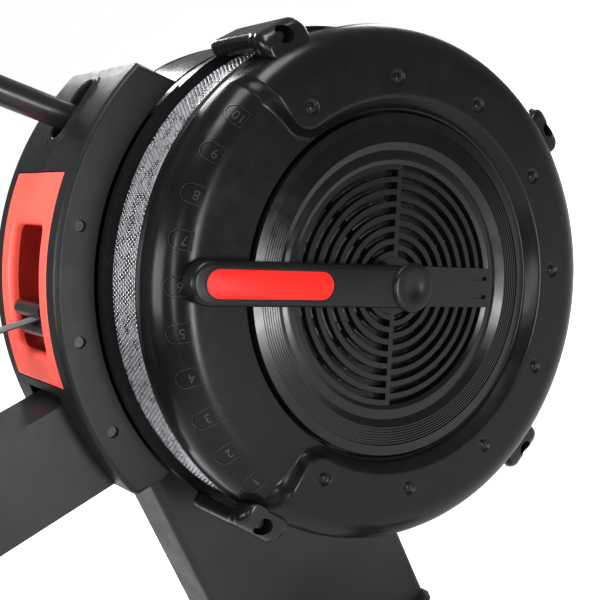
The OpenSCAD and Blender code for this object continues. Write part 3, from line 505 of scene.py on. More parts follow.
def dimple(r, angle):
    """Height that a dimple adds: a dished ring with a dome in it."""
    k = round((DIMPLE_FIRST - angle) / DIMPLE_STEP)
    if not 0 <= k < DIMPLES:
        return 0
    here, middle = spoke(r, angle), spoke(DIMPLE_R, DIMPLE_FIRST - k * DIMPLE_STEP)
    d = math.hypot(here[0] - middle[0], here[1] - middle[1])
    if d > DIMPLE_EDGE:
        return 0
    dish = min(1, (DIMPLE_EDGE - d) / DIMPLE_SLOPE)
    dome = math.sqrt(max(0, 1 - (d / DOME_R) ** 2))
    return -1.5 * dish * dish * (3 - 2 * dish) + 2.3 * dome


def high_shares():
    """Places round the raised part, close together at the dimples, as shares of its sweep."""
    first, last = NOTCHES["upper"][0], NOTCHES["lower"][0] - 360
    angles = {first - k * 2.5 for k in range(1, 102)}
    for k in range(DIMPLES):
        middle = DIMPLE_FIRST - k * DIMPLE_STEP
        angles = {a for a in angles if abs(a - middle) > 3.4}
        angles |= {middle + 0.28 * j for j in range(-12, 13)}
    angles = [a for a in sorted(angles, reverse=True) if last + 1 < a < first - 1]
    return [(first - a) / (first - last) for a in angles]


def make_front_cover():
    """Shell in columns round the axis: each has an angle that depends on r, and its share of the
    raised part."""
    def raised(share):
        return lambda r: (1 - share) * top_edge(r, "upper") + share * (top_edge(r, "lower") - 360)

    def across(which, share):
        return lambda r: (1 - share) * top_edge(r, which) + share * floor_edge(r, which) - 360

    def swept(share):
        return lambda r: ((1 - share) * (floor_edge(r, "lower") - 360)
                          + share * (floor_edge(r, "upper") - 360))
    step = [(-0.25, 1), (0, 0.99), (0.1, 0.93), (0.5, 0.5), (0.88, 0.06), (1, 0.01), (1.3, 0)]
    columns = [(raised(share), 1.0) for share in high_shares()]
    columns += [(across("lower", share), k) for share, k in step]
    columns += [(swept(j / 50), 0.0) for j in range(1, 50)]
    columns += [(across("upper", share), k) for share, k in reversed(step)]
    verts = []
    for r, high, low in cover_rows():
        for angle, k in columns:
            a = angle(r)
            t = low + (high - low) * k
            if k == 1 and 176 < r < 202:
                t += dimple(r, a)
            verts.append(at(r, a, t))
    faces = grid_faces(len(cover_rows()), len(columns), closed_columns=True)
    cover = build("front_cover_shell", verts, faces, MAT["cover_plastic"], 55)
    solidify(cover, 2.2)
    adopt(cover, "frame", "cover_plastic", "front_cover")


# ---- Numbers round the lever's sweep ----
PAD_FIRST, PAD_STEP, PAD_THETA = 111.5, 9.93, 57


def on_shoulder(angle, u, v, h):
    """Point on the swept shoulder: u along the rim, v outwards over the curve, h above it."""
    theta = math.radians(PAD_THETA) - v / SHOULDER_R
    r = COVER_R - SHOULDER_R + (SHOULDER_R + h) * math.cos(theta)
    t = LOW_FACE - SHOULDER_R + (SHOULDER_R + h) * math.sin(theta)
    return at(r, angle - math.degrees(u / r), t)


def ribbon(name, path, width, height, place, finish, closed=True):
    """Low bead that follows a path on a surface."""
    loops = []
    n = len(path)
    for k, p in enumerate(path):
        before = Vector(path[k - 1] if closed or k else p)
        after = Vector(path[(k + 1) % n] if closed or k < n - 1 else p)
        d = (after - before).normalized()
        side = Vector((-d.y, d.x)) * width / 2
        section = ((-1, -0.3), (-0.6, height), (0.6, height), (1, -0.3))
        loops.append([place(p[0] + side.x * s, p[1] + side.y * s, h) for s, h in section])
    return loft(name, loops, finish, caps=not closed, closed=closed, sharp=30)


def glyphs(name, text, size, depth, place, finish):
    """Raised figures laid on a surface by place(x, y, h)."""
    curve = bpy.data.curves.new(name, "FONT")
    curve.body, curve.size, curve.extrude = text, size, depth / 2
    curve.align_x, curve.align_y = "CENTER", "CENTER"
    source = bpy.data.objects.new(name, curve)
    mesh = bpy.data.meshes.new_from_object(source)
    bpy.data.objects.remove(source)
    for v in mesh.vertices:
        v.co = place(v.co.x, v.co.y, v.co.z)
    mesh.materials.clear()
    mesh.materials.append(finish)
    piece = bpy.data.objects.new(name, mesh)
    bpy.context.scene.collection.objects.link(piece)
    return piece


def make_numbers():
    arc_points = [spoke(8.2, a) for a in range(0, 181, 12)]
    outline = [(-8.2, -9.5), (8.2, -9.5)] + [(x, 2.5 + y) for x, y in arc_points]
    for k in range(10):
        angle = PAD_FIRST + k * PAD_STEP
        number = 10 - k
        # dark ribbon round each pad, laid just over the shoulder: painted shade of the engraved groove
        groove_shade = ribbon(f"number_groove_shade_{number}", outline, 2.6, 0.12,
                      lambda x, y, h, a=angle: on_shoulder(a, x, y, h), MAT["painted_groove_shade"])
        adopt(groove_shade, "frame", "cover_plastic")
        # bead in the lighter grey: painted highlight along the pad's rim; the figures take it as their
        # marking
        pad = ribbon(f"number_pad_{number}", outline, 0.9, 0.7,
                     lambda x, y, h, a=angle: on_shoulder(a, x, y, h), MAT["number_marks_and_highlight"])
        adopt(pad, "frame", "cover_plastic")
        digits = glyphs(f"number_{number}", str(number), 12, 0.6,
                        lambda x, y, h, a=angle: on_shoulder(a, -y, x - 3, h), MAT["number_marks_and_highlight"])
        adopt(digits, "frame", "cover_plastic")


# ---- Perforated band ----
def make_band():
    pitch_count, rows = 360, 14
    r = CAGE_R - 0.4
    pitch = 2 * math.pi * r / pitch_count
    corner = pitch / math.sqrt(3)
    height = 1.5 * corner * (rows - 1) + 2 * corner
    t_first = (CAGE_IN + CAGE_OUT) / 2 - height / 2 + corner
    hole = 0.41 * pitch
    verts, index, faces = [], {}, []

    def corner_id(s, t):
        key = (round(s / (pitch / 2)) % (2 * pitch_count), round((t - t_first) / (corner / 2)))
        if key not in index:
            index[key] = len(verts)
            verts.append(at(r, math.degrees(s / r), t))
        return index[key]

    for j in range(rows):
        for i in range(pitch_count):
            cs, ct = (i + 0.5 * (j % 2)) * pitch, t_first + 1.5 * corner * j
            ring, inner = [], []
            for k in range(6):
                a = math.radians(30 + 60 * k)
                ring.append(corner_id(cs + corner * math.cos(a), ct + corner * math.sin(a)))
                inner.append(len(verts))
                verts.append(at(r, math.degrees((cs + hole * math.cos(a)) / r), ct + hole * math.sin(a)))
            faces += [[ring[k], ring[(k + 1) % 6], inner[(k + 1) % 6], inner[k]] for k in range(6)]
    last = round(1.5 * (rows - 1) * 2) + 2
    for edge_t, base in ((CAGE_IN + 0.2, -2), (CAGE_OUT - 0.2, last)):
        shift = ((rows - 1) % 2) if base > 0 else 0
        line = []
        for n in range(2 * pitch_count):
            up = (n % 2 == shift)
            level = base if up else base + (1 if base < 0 else -1)
            line.append(index[(n, level)])
        first = len(verts)
        for n in range(2 * pitch_count):
            verts.append(at(r, math.degrees(n * pitch / 2 / r), edge_t))
        for n in range(2 * pitch_count):
            m = (n + 1) % (2 * pitch_count)
            faces.append([line[n], line[m], first + m, first + n])
    band = build("perforated_band", verts, faces, MAT["cage_steel"], 60)
    solidify(band, 0.7, 0)
    adopt(band, "frame", "cage_steel", "cage_band")


# ---- Damper lever ----
def lever_place(x, y, z):
    a = math.radians(LEVER_ANGLE)
    px, pz = x * math.cos(a) - y * math.sin(a), x * math.sin(a) + y * math.cos(a)
    return Vector((AXIS_X + px * MM, -z * MM, AXIS_Z + pz * MM))


def make_lever():
    outline = pill_outline(-LEVER_W / 2, LEVER_REACH, LEVER_W)
    rim = 4.5
    loops = []
    for k in range(4):
        a = math.radians(90 * k / 3)
        ring = inset(outline, 1.2 * (1 - math.sin(a)))
        loops.append([lever_place(x, y, LEVER_BASE + 1.2 * (1 - math.cos(a))) for x, y in ring])
    for k in range(6):
        a = math.radians(18 * k)
        ring = inset(outline, rim * (1 - math.cos(a)))
        loops.append([lever_place(x, y, LEVER_TOP - rim + rim * math.sin(a)) for x, y in ring])
    bar = loft("lever_bar", loops, MAT["disc_plastic"], sharp=50)
    adopt(bar, "damper", "disc_plastic", "damper_lever")
    pocket = pill_outline(87, LEVER_REACH - 12, LEVER_W - 11)
    rim_piece = ribbon("lever_pocket_rim", pocket, 1.6, LEVER_TOP + 0.45, lever_place, MAT["disc_plastic"])
    for v in rim_piece.data.vertices:
        if (-v.co.y) / MM < LEVER_TOP - 1:
            v.co.y = -(LEVER_TOP - 0.6) * MM
    adopt(rim_piece, "damper", "disc_plastic")
    red = slab("lever_red_insert", pill_outline(88.3, LEVER_REACH - 13.3, LEVER_W - 13.4), LEVER_TOP - 1.2,
               LEVER_TOP + 0.5, 0.5, MAT["red_insert"], lever_place, 2)
    adopt(red, "damper", "red_insert", "lever_insert")
    # radius of the cap, and its height over the lever
    profile = [(0.01, 2.6), (8, 2.7), (9, 3.2), (17.5, 3.3), (20.5, 2.9), (22.4, 1.7), (23, 0.2),
               (23, -0.4)]
    loops = [[lever_place(*spoke(r, a), LEVER_TOP + z) for a in range(0, 360, 6)] for r, z in profile]
    cap = loft("hub_cap_dish", loops, MAT["disc_plastic"], sharp=50)
    adopt(cap, "damper", "disc_plastic", "hub_cap")


# ---- Clamps ----
CLAMP_HOLE_R, CLAMP_HOLE_AT = 8.4, 252.6


def clamp_loop(t, near, far, low, high, radius):
    """Section of a clamp across the rim at t, between two sideways limits and two radii."""
    return [((near - far) / 2 + x, (low + high) / 2 + y, t)
            for x, y in rounded_rect(near + far, high - low, radius, 5)]


def make_clamps():
    # distance along the fan's axis, reach to the near and far side, lower and upper radius,
    # corner radius
    stations = [(83.6, 10, 17, 250, 258, 2.6), (84.4, 13, 20, 248.6, 260.6, 3.8),
                (86, 14.6, 21.8, 247.4, 262, 5), (89, 15, 22.4, 246.6, 262.8, 5.6),
                (97.6, 15.2, 22.5, 246.2, 263, 5.6), (98, 14.6, 22.1, 246.6, 262.5, 5.4),
                (98.7, 14.6, 22.1, 246.6, 262.5, 5.4), (99.1, 15.2, 22.5, 246.2, 263, 5.6),
                (117, 15.6, 22.6, 246, 263, 5.6), (117.4, 15, 22.2, 246.4, 262.5, 5.4),
                (118.1, 15, 22.2, 246.4, 262.5, 5.4), (118.5, 15.6, 22.6, 246, 263, 5.6),
                (140, 16, 22.8, 245.6, 263, 5.8), (154, 16.4, 23, 245.2, 263, 5.8),
                (158, 17, 23, 244.8, 263, 5.8), (161, 18.6, 23, 243.6, 263, 6), (164, 20.6, 23, 242, 263, 6),
                (166, 21.2, 23, 241.2, 263, 6), (168, 20.8, 23, 240.6, 263, 6),
                (170, 20.2, 23, 240.2, 263, 6), (171.6, 20.6, 23, 240, 263, 6),
                (173.6, 22.2, 23.2, 239.8, 263, 6.4), (176, 23.6, 23.6, 239.6, 262.8, 7),
                (179, 24, 23.8, 239.3, 262.2, 7.6), (182.5, 24, 23.8, 238.8, 261, 8),
                (186, 23.8, 23.6, 238.2, 258.8, 8.2), (188.6, 23, 22.8, 237.6, 256, 7.6),
                (190.4, 21.4, 21.2, 237.4, 252.8, 6), (191.4, 18.6, 18.4, 238, 249, 4)]
    for n, angle in enumerate(CLAMP_ANGLES):
        a = math.radians(angle)
        side = 1 if n % 2 == 0 else -1
        out, along = Vector((math.cos(a), 0, math.sin(a))), Vector((-math.sin(a), 0, math.cos(a)))
        centre = Vector((AXIS_X, 0, AXIS_Z))

        def place(x, r, t):
            # the block follows the rim's curve
            lean = r - x * x / (2 * r) * 0.9
            return centre + (out * lean + along * x * side) * MM + Vector((0, -t * MM, 0))
        loops = [[place(*p) for p in clamp_loop(*s)] for s in stations]
        if side < 0:
            loops = [loop[::-1] for loop in loops]
        clamp = loft(f"cage_clamp_{n + 1}", loops, MAT["clamp_plastic"], sharp=55)
        rim = [spoke(CLAMP_HOLE_R, side * b) for b in range(0, 360, 10)]
        cutter = loft("cutter", [[place(x, CLAMP_HOLE_AT + y, t) for x, y in rim] for t in (165, 205)],
                      MAT["clamp_plastic"])
        cut_away(clamp, [cutter])
        even_shading(clamp, 50)
        adopt(clamp, "frame", "clamp_plastic", *(["cage_clamps"] if n == 0 else []))


# ---- Rear casing ----
def casing_outline():
    """Closed outline of the crescent in the fan's plane, anticlockwise, with its corners eased."""
    low_out = 180 + math.degrees(math.asin(CASING_DROP / CASING_R))
    low_in = 180 + math.degrees(math.asin(CASING_DROP / CASING_IN))
    edges = {CASING_TOP + 0.9, SLOT_MID - SLOT_HALF_DEG, SLOT_MID + SLOT_HALF_DEG, PANEL_TOP,
             PANEL_LOW, low_out - 0.9}
    marks = sorted(edges | {109.5 + 1.5 * k for k in range(58)})
    angles = [a for a in marks if CASING_TOP + 0.8 < a < low_out - 0.8]
    outer = [spoke(CASING_R, a) for a in angles]
    inner_angles = [low_in - 0.6 - (low_in - INNER_TOP) * k / 62 for k in range(63)]
    inner = [spoke(CASING_IN, a) for a in inner_angles]
    corner_x = spoke(CASING_R, low_out)[0]
    low_edge = [(corner_x + 1.2, -CASING_DROP + 1.3), (corner_x + 4.4, -CASING_DROP), (-245, -CASING_DROP)]
    return outer, low_edge, inner


def make_casing_half(name, side, node):
    """Half of the hollow crescent: its wall with the openings, a rounded rim and a flat side."""
    outer, low_edge, inner = casing_outline()
    outline = outer + low_edge + inner
    n_outer, n = len(outer), len(outline)
    fillet, seam, rings = 6.0, 0.5, 6
    levels = [seam, SLOT_HALF, BEAM_ROOM, PANEL_HALF, CASING_HALF - fillet]

    def point(p, t):
        return Vector((AXIS_X + p[0] * MM, -side * t * MM, AXIS_Z + p[1] * MM))

    def screw_rim(angle, r, t, step=12):
        x, z = spoke(SCREW_R, angle)
        return [point((x + dx, z + dz), t) for dx, dz in [spoke(r, b) for b in range(0, 360, step)]]
    verts = [point(p, t) for t in levels for p in outline]
    angle_of = [math.degrees(math.atan2(p[1], p[0])) % 360 for p in outline]

    def solid(i, j):
        if j >= n_outer - 1:
            return not (j > n_outer - 1 and levels[i] < BEAM_ROOM and j < n_outer + 3)
        middle = (angle_of[j] + angle_of[j + 1]) / 2
        in_slot = abs(middle - SLOT_MID) < SLOT_HALF_DEG and levels[i] < SLOT_HALF
        in_panel = PANEL_TOP < middle < PANEL_LOW and levels[i] < PANEL_HALF
        in_beam = middle > BEAM_FROM and levels[i] < BEAM_ROOM
        return not (in_slot or in_panel or in_beam)
    faces = grid_faces(len(levels), n, closed_columns=True, keep=solid)
    base = len(verts) - n
    for k in range(1, rings + 1):
        a = math.radians(90 * k / rings)
        ring = inset(outline, fillet * (1 - math.cos(a)))
        inner_ring = inset(outline, 1.2 * (1 - math.cos(a)))
        for j in range(n):
            p = ring[j] if j < n_outer + 2 else inner_ring[j]
            verts.append(point(p, CASING_HALF - fillet + fillet * math.sin(a)))
        faces += grid_faces(2, n, closed_columns=True, first=base + (k - 1) * n)
    faces.append([base + rings * n + j for j in range(n)])
    piece = build(name, verts, faces, MAT["casing_plastic"], 40)
    solidify(piece, 2.6)
    cutters = [loft("cutter", [screw_rim(angle, 5.6, CASING_HALF + t) for t in (-20, 5)],
                    MAT["casing_plastic"]) for angle in SCREW_ANGLES]
    cut_away(piece, cutters)
    even_shading(piece, 32)
    well_profile = ((5.6, 0.1), (5.4, 0.6), (5.3, 8), (2.4, 8))
    for k, angle in enumerate(SCREW_ANGLES):
        loops = [screw_rim(angle, r, CASING_HALF - deep) for r, deep in well_profile]
        well = loft(f"{name}_screw_well_{k + 1}", loops, MAT["casing_plastic"], caps=False)
        adopt(well, "frame", "casing_plastic")
    adopt(piece, "frame", "casing_plastic", node)


def slot_loop(extra, depth, steps=14):
    """Outline of the arm's slot, grown by extra, at a height above the casing's surface."""
    half_len, half_w = 33 + extra, 13.6 + extra
    points = []
    for centre, start in ((half_len - half_w, -90), (-(half_len - half_w), 90)):
        for k in range(steps + 1):
            a = math.radians(start + 180 * k / steps)
            s, t = centre + half_w * math.cos(a), half_w * math.sin(a)
            points.append(at(CASING_R + depth, SLOT_MID + math.degrees(s / CASING_R), t))
    return points


def make_arm_slot():
    """Padded lip round the slot: how far out from the opening, and how high, from outside to inside."""
    profile = [(8.6, -0.3), (7.9, 0.5), (6.8, 0.9), (5.4, 0.6), (4.4, 0.9), (3.4, 1.9), (2.2, 2.4),
               (1.0, 2.0), (0.2, 0.8), (0, -1), (0, -14)]
    ring = loft("arm_slot_lip", [slot_loop(e, h) for e, h in profile], MAT["casing_plastic"],
                caps=False, sharp=50)
    adopt(ring, "frame", "casing_plastic")


# ---- Dock panel ----
def panel_point(s, t, r):
    middle = (PANEL_TOP + PANEL_LOW) / 2
    return at(r, middle + math.degrees(s / CASING_R), t)


def make_dock_panel():
    """Red panel with a rounded window, and the tunnel that leads from the window to the drum."""
    arc = math.radians(1) * CASING_R
    outer_len = (PANEL_LOW - PANEL_TOP - 0.3) * arc
    window_len = (WINDOW_LOW - WINDOW_TOP) * arc
    window_mid = ((WINDOW_LOW + WINDOW_TOP) - (PANEL_LOW + PANEL_TOP)) / 2 * arc
    outer = rounded_rect(outer_len, 2 * PANEL_HALF - 0.8, 2.5, 12)
    inner = [(x + window_mid, y) for x, y in rounded_rect(window_len, 2 * WINDOW_HALF, 9, 12)]

    def refine(points):
        fine = []
        for k, p in enumerate(points):
            q = points[(k + 1) % len(points)]
            gap = math.hypot(q[0] - p[0], q[1] - p[1])
            cuts = 24 if gap > 20 else 1
            fine += [(p[0] + (q[0] - p[0]) * c / cuts, p[1] + (q[1] - p[1]) * c / cuts)
                     for c in range(cuts)]
        return fine
    outer, inner = refine(outer), refine(inner)
    rings = [(outer, CASING_R - 5)]
    for k in range(4):
        a = math.radians(30 * k)
        rings.append((inset(outer, 1.5 * (1 - math.cos(a))), CASING_R - 1 + 1.5 * math.sin(a) - 0.2))
    for k in range(1, 6):
        share = k / 6
        mixed = [(p[0] * (1 - share) + q[0] * share, p[1] * (1 - share) + q[1] * share)
                 for p, q in zip(inset(outer, 1.5), inset(inner, -6))]
        rings.append((mixed, CASING_R + 0.3))
    for k in range(7):
        a = math.radians(15 * k)
        rings.append((inset(inner, -6 * (1 - math.sin(a))), CASING_R + 0.3 - 6 * (1 - math.cos(a))))
    rings.append((inner, CASING_R - 9))
    loops = [[panel_point(x, y, r) for x, y in ring] for ring, r in rings]
    panel = loft("dock_panel_shell", loops, MAT["red_panel"], caps=False, sharp=45)
    adopt(panel, "frame", "red_panel", "dock_panel")
    walls = [[panel_point(x, y, r) for x, y in inner]
             for r in (CASING_R - 9, CASING_R - 18, CASING_IN + 5.4)]
    back = rounded_rect(12 * arc, 44, 4, 12)
    back = refine([(x + window_mid + 5.5 * arc * 0.6, y) for x, y in back])
    walls.append([panel_point(x, y, CASING_IN + 5.2) for x, y in back])
    # the tunnel walls take the darker red: painted shade inside the opening
    tunnel = loft("dock_tunnel", walls, MAT["red_tunnel_shade"], caps=False, sharp=30)
    adopt(tunnel, "frame", "red_panel")


# ---- Soft pieces ----
def make_seat_pad():
    low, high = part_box("seat_pad")
    centre = (low + high) / 2
    width, depth, height = high.y - low.y, high.x - low.x, high.z - low.z
    bm = bmesh.new()
    outline = rounded_rect(depth / MM - 14, width / MM - 14, 55, 10)
    loops = []
    for z, shrink in ((0, 10), (6, 2), (14, 0), (24, 0), (32, 4), (36, 12)):
        loops.append([bm.verts.new((x * MM, y * MM, z * MM)) for x, y in inset(outline, shrink)])
    for a, b in zip(loops, loops[1:]):
        for k in range(len(a)):
            bm.faces.new((a[k], a[(k + 1) % len(a)], b[(k + 1) % len(a)], b[k]))
    bm.faces.new(loops[0])
    bm.faces.new(loops[-1])
    bmesh.ops.recalc_face_normals(bm, faces=bm.faces)
    mesh = bpy.data.meshes.new("seat_cushion")
    bm.to_mesh(mesh)
    bm.free()
    pad = bpy.data.objects.new("seat_cushion", mesh)
    bpy.context.scene.collection.objects.link(pad)
    remesh = pad.modifiers.new("remesh", "REMESH")
    remesh.mode, remesh.voxel_size = "VOXEL", 0.006
    apply_modifiers(pad)
    rest = [v.co.copy() for v in pad.data.vertices]
    inflate(pad, rest)
    shape_cushion(pad, depth, width, height)
    smooth = pad.modifiers.new("smooth", "SUBSURF")
    smooth.levels = smooth.render_levels = 1
    apply_modifiers(pad)
    smooth_all(pad)
    paint(pad, MAT["seat_vinyl"])
    base_low, base_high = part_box("seat_base")
    top_mid = base_high.z - math.sin(RAIL_SLOPE) * (base_high.x - base_low.x) / 2
    place = Matrix.Translation((centre.x, centre.y, top_mid + 0.0006))
    pad.matrix_world = place @ Matrix.Rotation(RAIL_SLOPE, 4, "Y")
    bpy.context.view_layer.update()
    adopt(pad, "seat", "seat_vinyl", "seat_pad")


def inflate(pad, rest):
    """Cloth simulation: the cover swells over its foam, held at the bottom."""
    held = pad.vertex_groups.new(name="held")
    held.add([k for k, p in enumerate(rest) if p.z < 0.008], 1.0, "REPLACE")
    cloth = pad.modifiers.new("cloth", "CLOTH")
    settings = cloth.settings
    settings.use_pressure, settings.uniform_pressure_force = True, 4.0
    settings.effector_weights.gravity = 0.0
    settings.vertex_group_mass = "held"
    scene = bpy.context.scene
    for f in range(1, 19):
        scene.frame_set(f)
    apply_modifiers(pad)
    farthest = 0.009
    for v, p in zip(pad.data.vertices, rest):
        move = v.co - p
        if move.length > farthest:
            v.co = p + move.normalized() * farthest
    scene.frame_set(1)


def shape_cushion(pad, depth, width, height):
    """Dishes the top for the rider, cuts the tailbone notch and keeps the pad in its box."""
    limit = height - 0.0007 - math.sin(RAIL_SLOPE) * depth
    top = max(v.co.z for v in pad.data.vertices)
    for v in pad.data.vertices:
        x, y, z = v.co
        share = max(0.0, min(1.0, z / top))
        for side in (-1, 1):
            d = math.hypot((x + 0.005) / 0.075, (y - side * 0.068) / 0.058)
            z -= 0.0075 * share * math.exp(-d * d * 1.6)
        notch = math.exp(-((y / 0.030) ** 2)) * max(0.0, min(1.0, (-x - depth / 2 + 0.075) / 0.075))
        x += 0.030 * notch
        z -= 0.006 * share * notch
        groove = abs(z - 0.0125)
        if z > 0 and groove < 0.004:
            pull = (1 - groove / 0.004) * 0.0022
            flat = math.hypot(x, y)
            x, y = x * (1 - pull / flat), y * (1 - pull / flat)
        x = max(-depth / 2 + 0.001, min(depth / 2 - 0.001, x))
        y = max(-width / 2 + 0.001, min(width / 2 - 0.001, y))
        v.co = (x, y, max(0.0, min(limit, z)))


# ---- Straps and grips ----
FOOT_X, FOOT_Z = -690, -100
FOOT_TILT = math.atan2(26 - FOOT_Z, 90)
FOOT_Y, FOOT_STRAP_AT, FOOT_STRAP_W = 112, 105, 38
FOOT_STRAP_R, FOOT_STRAP_BASE, FOOT_STRAP_SAG = 59.5, 12.5 + 4, 0.06


def foot_place(u, y, n):
    """Point in the footrest's frame: u up the plate, y to the left, n above the tubes' line."""
    x = FOOT_X + u * math.cos(FOOT_TILT) - n * math.sin(FOOT_TILT)
    z = FOOT_Z + u * math.sin(FOOT_TILT) + n * math.cos(FOOT_TILT)
    wx = x * math.cos(RAIL_SLOPE) + z * math.sin(RAIL_SLOPE)
    wz = -x * math.sin(RAIL_SLOPE) + z * math.cos(RAIL_SLOPE)
    return Vector((AXIS_X + wx * MM, y * MM, AXIS_Z + wz * MM))


def make_foot_straps():
    """A webbing strap over each foot plate, with a slight wander along its length, and its buckle."""
    radius, steps = FOOT_STRAP_R, 40
    for n, side in enumerate((1, -1)):
        rows = []
        for k in range(steps + 1):
            a = math.radians(180 * k / steps)
            sag = 1 - FOOT_STRAP_SAG * math.sin(a) ** 2
            rows.append([foot_place(FOOT_STRAP_AT + w + 1.5 * math.sin(a) * math.sin(3 * a),
                                    side * FOOT_Y + radius * math.cos(a),
                                    FOOT_STRAP_BASE + radius * sag * math.sin(a))
                         for w in [FOOT_STRAP_W * j / 8 for j in range(9)]])
        verts = [p for row in rows for p in row]
        strap = build(f"foot_strap_{n + 1}", verts, grid_faces(len(rows), 9), MAT["webbing"], 60)
        solidify(strap, 1.8, 1.0)
        apply_modifiers(strap)
        smooth_all(strap)
        adopt(strap, "frame", "webbing", *(["foot_straps"] if n == 0 else []))
        make_buckle(side)


def make_buckle(side):
    """Ladder buckle on the outer side of a foot strap."""
    outline = rounded_rect(FOOT_STRAP_W + 8, 26, 4, 4)

    def place(x, y, z):
        a = math.radians(38) + y / FOOT_STRAP_R
        reach = FOOT_STRAP_R * (1 - FOOT_STRAP_SAG * math.sin(a) ** 2) + 1.6 + z
        return foot_place(FOOT_STRAP_AT + FOOT_STRAP_W / 2 + x, side * (FOOT_Y + reach * math.cos(a)),
                          FOOT_STRAP_BASE + reach * math.sin(a))
    plate = slab(f"foot_buckle_{'left' if side > 0 else 'right'}", outline, 0, 3.2, 1.2,
                 MAT["footplate_plastic"], place, 3)
    adopt(plate, "frame", "webbing")


# The strap's line: its height over the fan's axis, the way to the rower and the way up from it
PULL_Z = WOUND_R / math.cos(PULL_ANGLE)
PULL_BACK = Vector((-math.cos(PULL_ANGLE), 0, math.sin(PULL_ANGLE)))
PULL_UP = Vector((math.sin(PULL_ANGLE), 0, math.cos(PULL_ANGLE)))


def strap_point(along, across, height, start):
    """Point of the pull strap: along it towards the rower, across it, and above it."""
    return start + PULL_BACK * along * MM + Vector((0, across * MM, 0)) + PULL_UP * height * MM


def make_pull_strap():
    """Webbing from the spool to the handle, and the loop that it makes round the handle's pin."""
    start_x = 12
    start = Vector((AXIS_X - start_x * MM, 0, AXIS_Z + (PULL_Z + start_x * math.tan(PULL_ANGLE)) * MM))
    bar_z = PULL_Z + HANDLE_AT * math.tan(PULL_ANGLE)
    bar = Vector((AXIS_X - HANDLE_AT * MM, 0, AXIS_Z + bar_z * MM))
    length = (bar - start).length / MM - 41.5
    half_w, thick = 12.2, 1.7
    section = rounded_rect(2 * half_w, thick, 0.7, 3)
    stations = [length * k / 60 for k in range(61)]
    loops = [[strap_point(s, x, y, start) for x, y in section] for s in stations]
    strap = loft("pull_strap_webbing", loops, MAT["webbing"], sharp=60)
    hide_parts("pull_strap")
    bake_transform(strap)
    pin, pin_r = bar - (bar - start).normalized() * 36 * MM, 5.0
    loops = []
    for k in range(25):
        a = math.radians(-100 + 200 * k / 24)
        out = PULL_BACK * math.cos(a) + PULL_UP * math.sin(a)
        loops.append([pin + out * (pin_r + y) * MM + Vector((0, x * MM, 0)) for x, y in section])
    loop_piece = loft("pull_strap_loop", loops, MAT["webbing"], sharp=60)
    adopt(loop_piece, "handle", "webbing")


def make_grips():
    """Foam grips with turned rings, on the bent ends of the handle."""
    bend, grip_r, ring_r, bend_y = math.radians(8), 15.9, 15.2, 60
    handle_z = PULL_Z + HANDLE_AT * math.tan(PULL_ANGLE)
    # distance along the grip, and its radius there
    profile = [(16.2, 11.2), (16.2, 13.2), (17.4, 15.2), (20, grip_r)]
    for k in range(34):
        s = 26 + k * 4
        profile += [(s, grip_r), (s + 0.8, ring_r), (s + 1.6, grip_r)]
    profile += [(168, grip_r), (174, 15.7), (177.3, 14.2), (178.6, 11), (178.8, 0.01)]
    up = Vector((0, 0, 1))
    for n, side in enumerate((1, -1)):
        origin = Vector((AXIS_X - HANDLE_AT * MM, side * bend_y * MM, AXIS_Z + handle_z * MM))
        axis = Vector((-math.sin(bend), side * math.cos(bend), 0))
        across = axis.cross(up).normalized()
        round_it = [across * x + up * z for x, z in [spoke(1, a) for a in range(0, 360, 10)]]
        loops = [[origin + axis * s * MM + out * r * MM for out in round_it] for s, r in profile]
        grip = loft(f"foam_grip_{n + 1}", loops, MAT["grip_foam"], sharp=60)
        adopt(grip, "handle", "grip_foam", *(["handle_grips"] if n == 0 else []))


# ---- Stage ----
def make_camera():
    cam = bpy.data.objects.new("camera", bpy.data.cameras.new("camera"))
    bpy.context.scene.collection.objects.link(cam)
    right = Vector((0.74655, -0.55228, -0.37107))
    up = Vector((0.49057, 0.08013, 0.86773))
    back = Vector((-0.44946, -0.82982, 0.33073))
    place = Matrix.Translation((AXIS_X - 0.5503, -1.0285, AXIS_Z + 0.3727))
    cam.matrix_world = place @ Matrix((right, up, back)).transposed().to_4x4()
    cam.data.lens, cam.data.sensor_width = 68.16, 36
    cam.data.clip_start, cam.data.clip_end = 0.02, 60
    bpy.context.scene.camera = cam


def area_light(name, place, target, size, power):
    lamp = bpy.data.lights.new(name, "AREA")
    lamp.shape, lamp.size, lamp.size_y = "RECTANGLE", size[0], size[1]
    lamp.energy = power
    obj = bpy.data.objects.new(name, lamp)
    bpy.context.scene.collection.objects.link(obj)
    obj.location = place
    obj.rotation_mode = "QUATERNION"
    obj.rotation_quaternion = (Vector(target) - Vector(place)).to_track_quat("-Z", "Y")


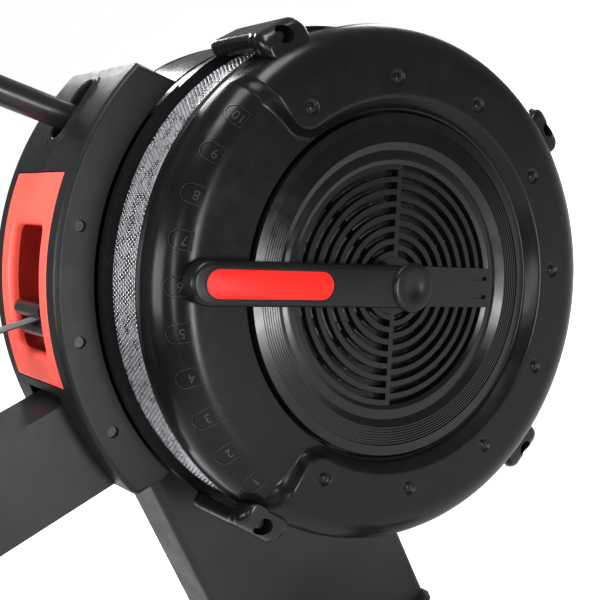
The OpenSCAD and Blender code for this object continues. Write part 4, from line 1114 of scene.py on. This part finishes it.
def make_stage():
    size = 14.0
    verts = [(-size, -size, 0), (size, -size, 0), (size, size, 0), (-size, size, 0)]
    mat, tree, shader, coords = blank("pale_floor")
    two_tone(tree, shader, noise(tree, coords, 3, 3), (0.86, 0.86, 0.86), 0.01)
    put(shader, Roughness=0.8, Specular_IOR_Level=0.1)
    # the camera sees a white sweep, and the machine gets only a soft bounce from it
    path = tree.nodes.new("ShaderNodeLightPath")
    lift = tree.nodes.new("ShaderNodeMath")
    lift.operation = "MULTIPLY"
    lift.inputs[1].default_value = 0.78
    tree.links.new(path.outputs["Is Camera Ray"], lift.inputs[0])
    put(shader, Emission_Color=(1, 1, 1, 1))
    tree.links.new(lift.outputs["Value"], shader.inputs["Emission Strength"])
    floor = build("floor", verts, [[0, 1, 2, 3]], mat)
    floor.location.z = -0.0005
    world = bpy.data.worlds.new("studio")
    bpy.context.scene.world = world
    world.use_nodes = True
    tree = world.node_tree
    background = tree.nodes["Background"]
    put(background, Color=(1, 1, 1, 1))
    path = tree.nodes.new("ShaderNodeLightPath")
    level = tree.nodes.new("ShaderNodeMapRange")
    put(level, To_Min=0.25, To_Max=1.0)
    tree.links.new(path.outputs["Is Camera Ray"], level.inputs["Value"])
    tree.links.new(level.outputs["Result"], background.inputs["Strength"])
    bpy.context.scene.view_settings.view_transform = "Standard"
    fan = Vector((AXIS_X, -0.1, AXIS_Z))
    area_light("key_top", fan + Vector((0.25, -0.35, 1.9)), fan, (1.5, 0.6), 46)
    area_light("rear_strip", fan + Vector((-1.9, 0.3, 1.0)), fan, (1.2, 0.9), 40)
    area_light("left_strip", fan + Vector((-1.5, -1.35, 0.8)), fan, (0.25, 1.1), 16)
    area_light("disc_glow", fan + Vector((-0.02, -1.9, -0.12)), fan, (0.34, 0.9), 34)
    area_light("band_patch", fan + Vector((0.55, 1.8, 0.76)), fan, (0.35, 0.5), 10)
    area_light("front_rim", fan + Vector((1.5, 0.9, 0.3)), fan, (0.5, 1.2), 18)


finish_cad_nodes()
tilt_disc_ring()
for cad_node, edge_width in EDGES.items():
    soften(cad_node, edge_width)
make_front_cover()
make_numbers()
make_band()
make_lever()
make_clamps()
make_casing_half("casing_shell_right", 1, "casing_right")
make_casing_half("casing_shell_left", -1, "casing_left")
make_arm_slot()
make_dock_panel()
make_seat_pad()
make_foot_straps()
make_pull_strap()
make_grips()
make_camera()
make_stage()
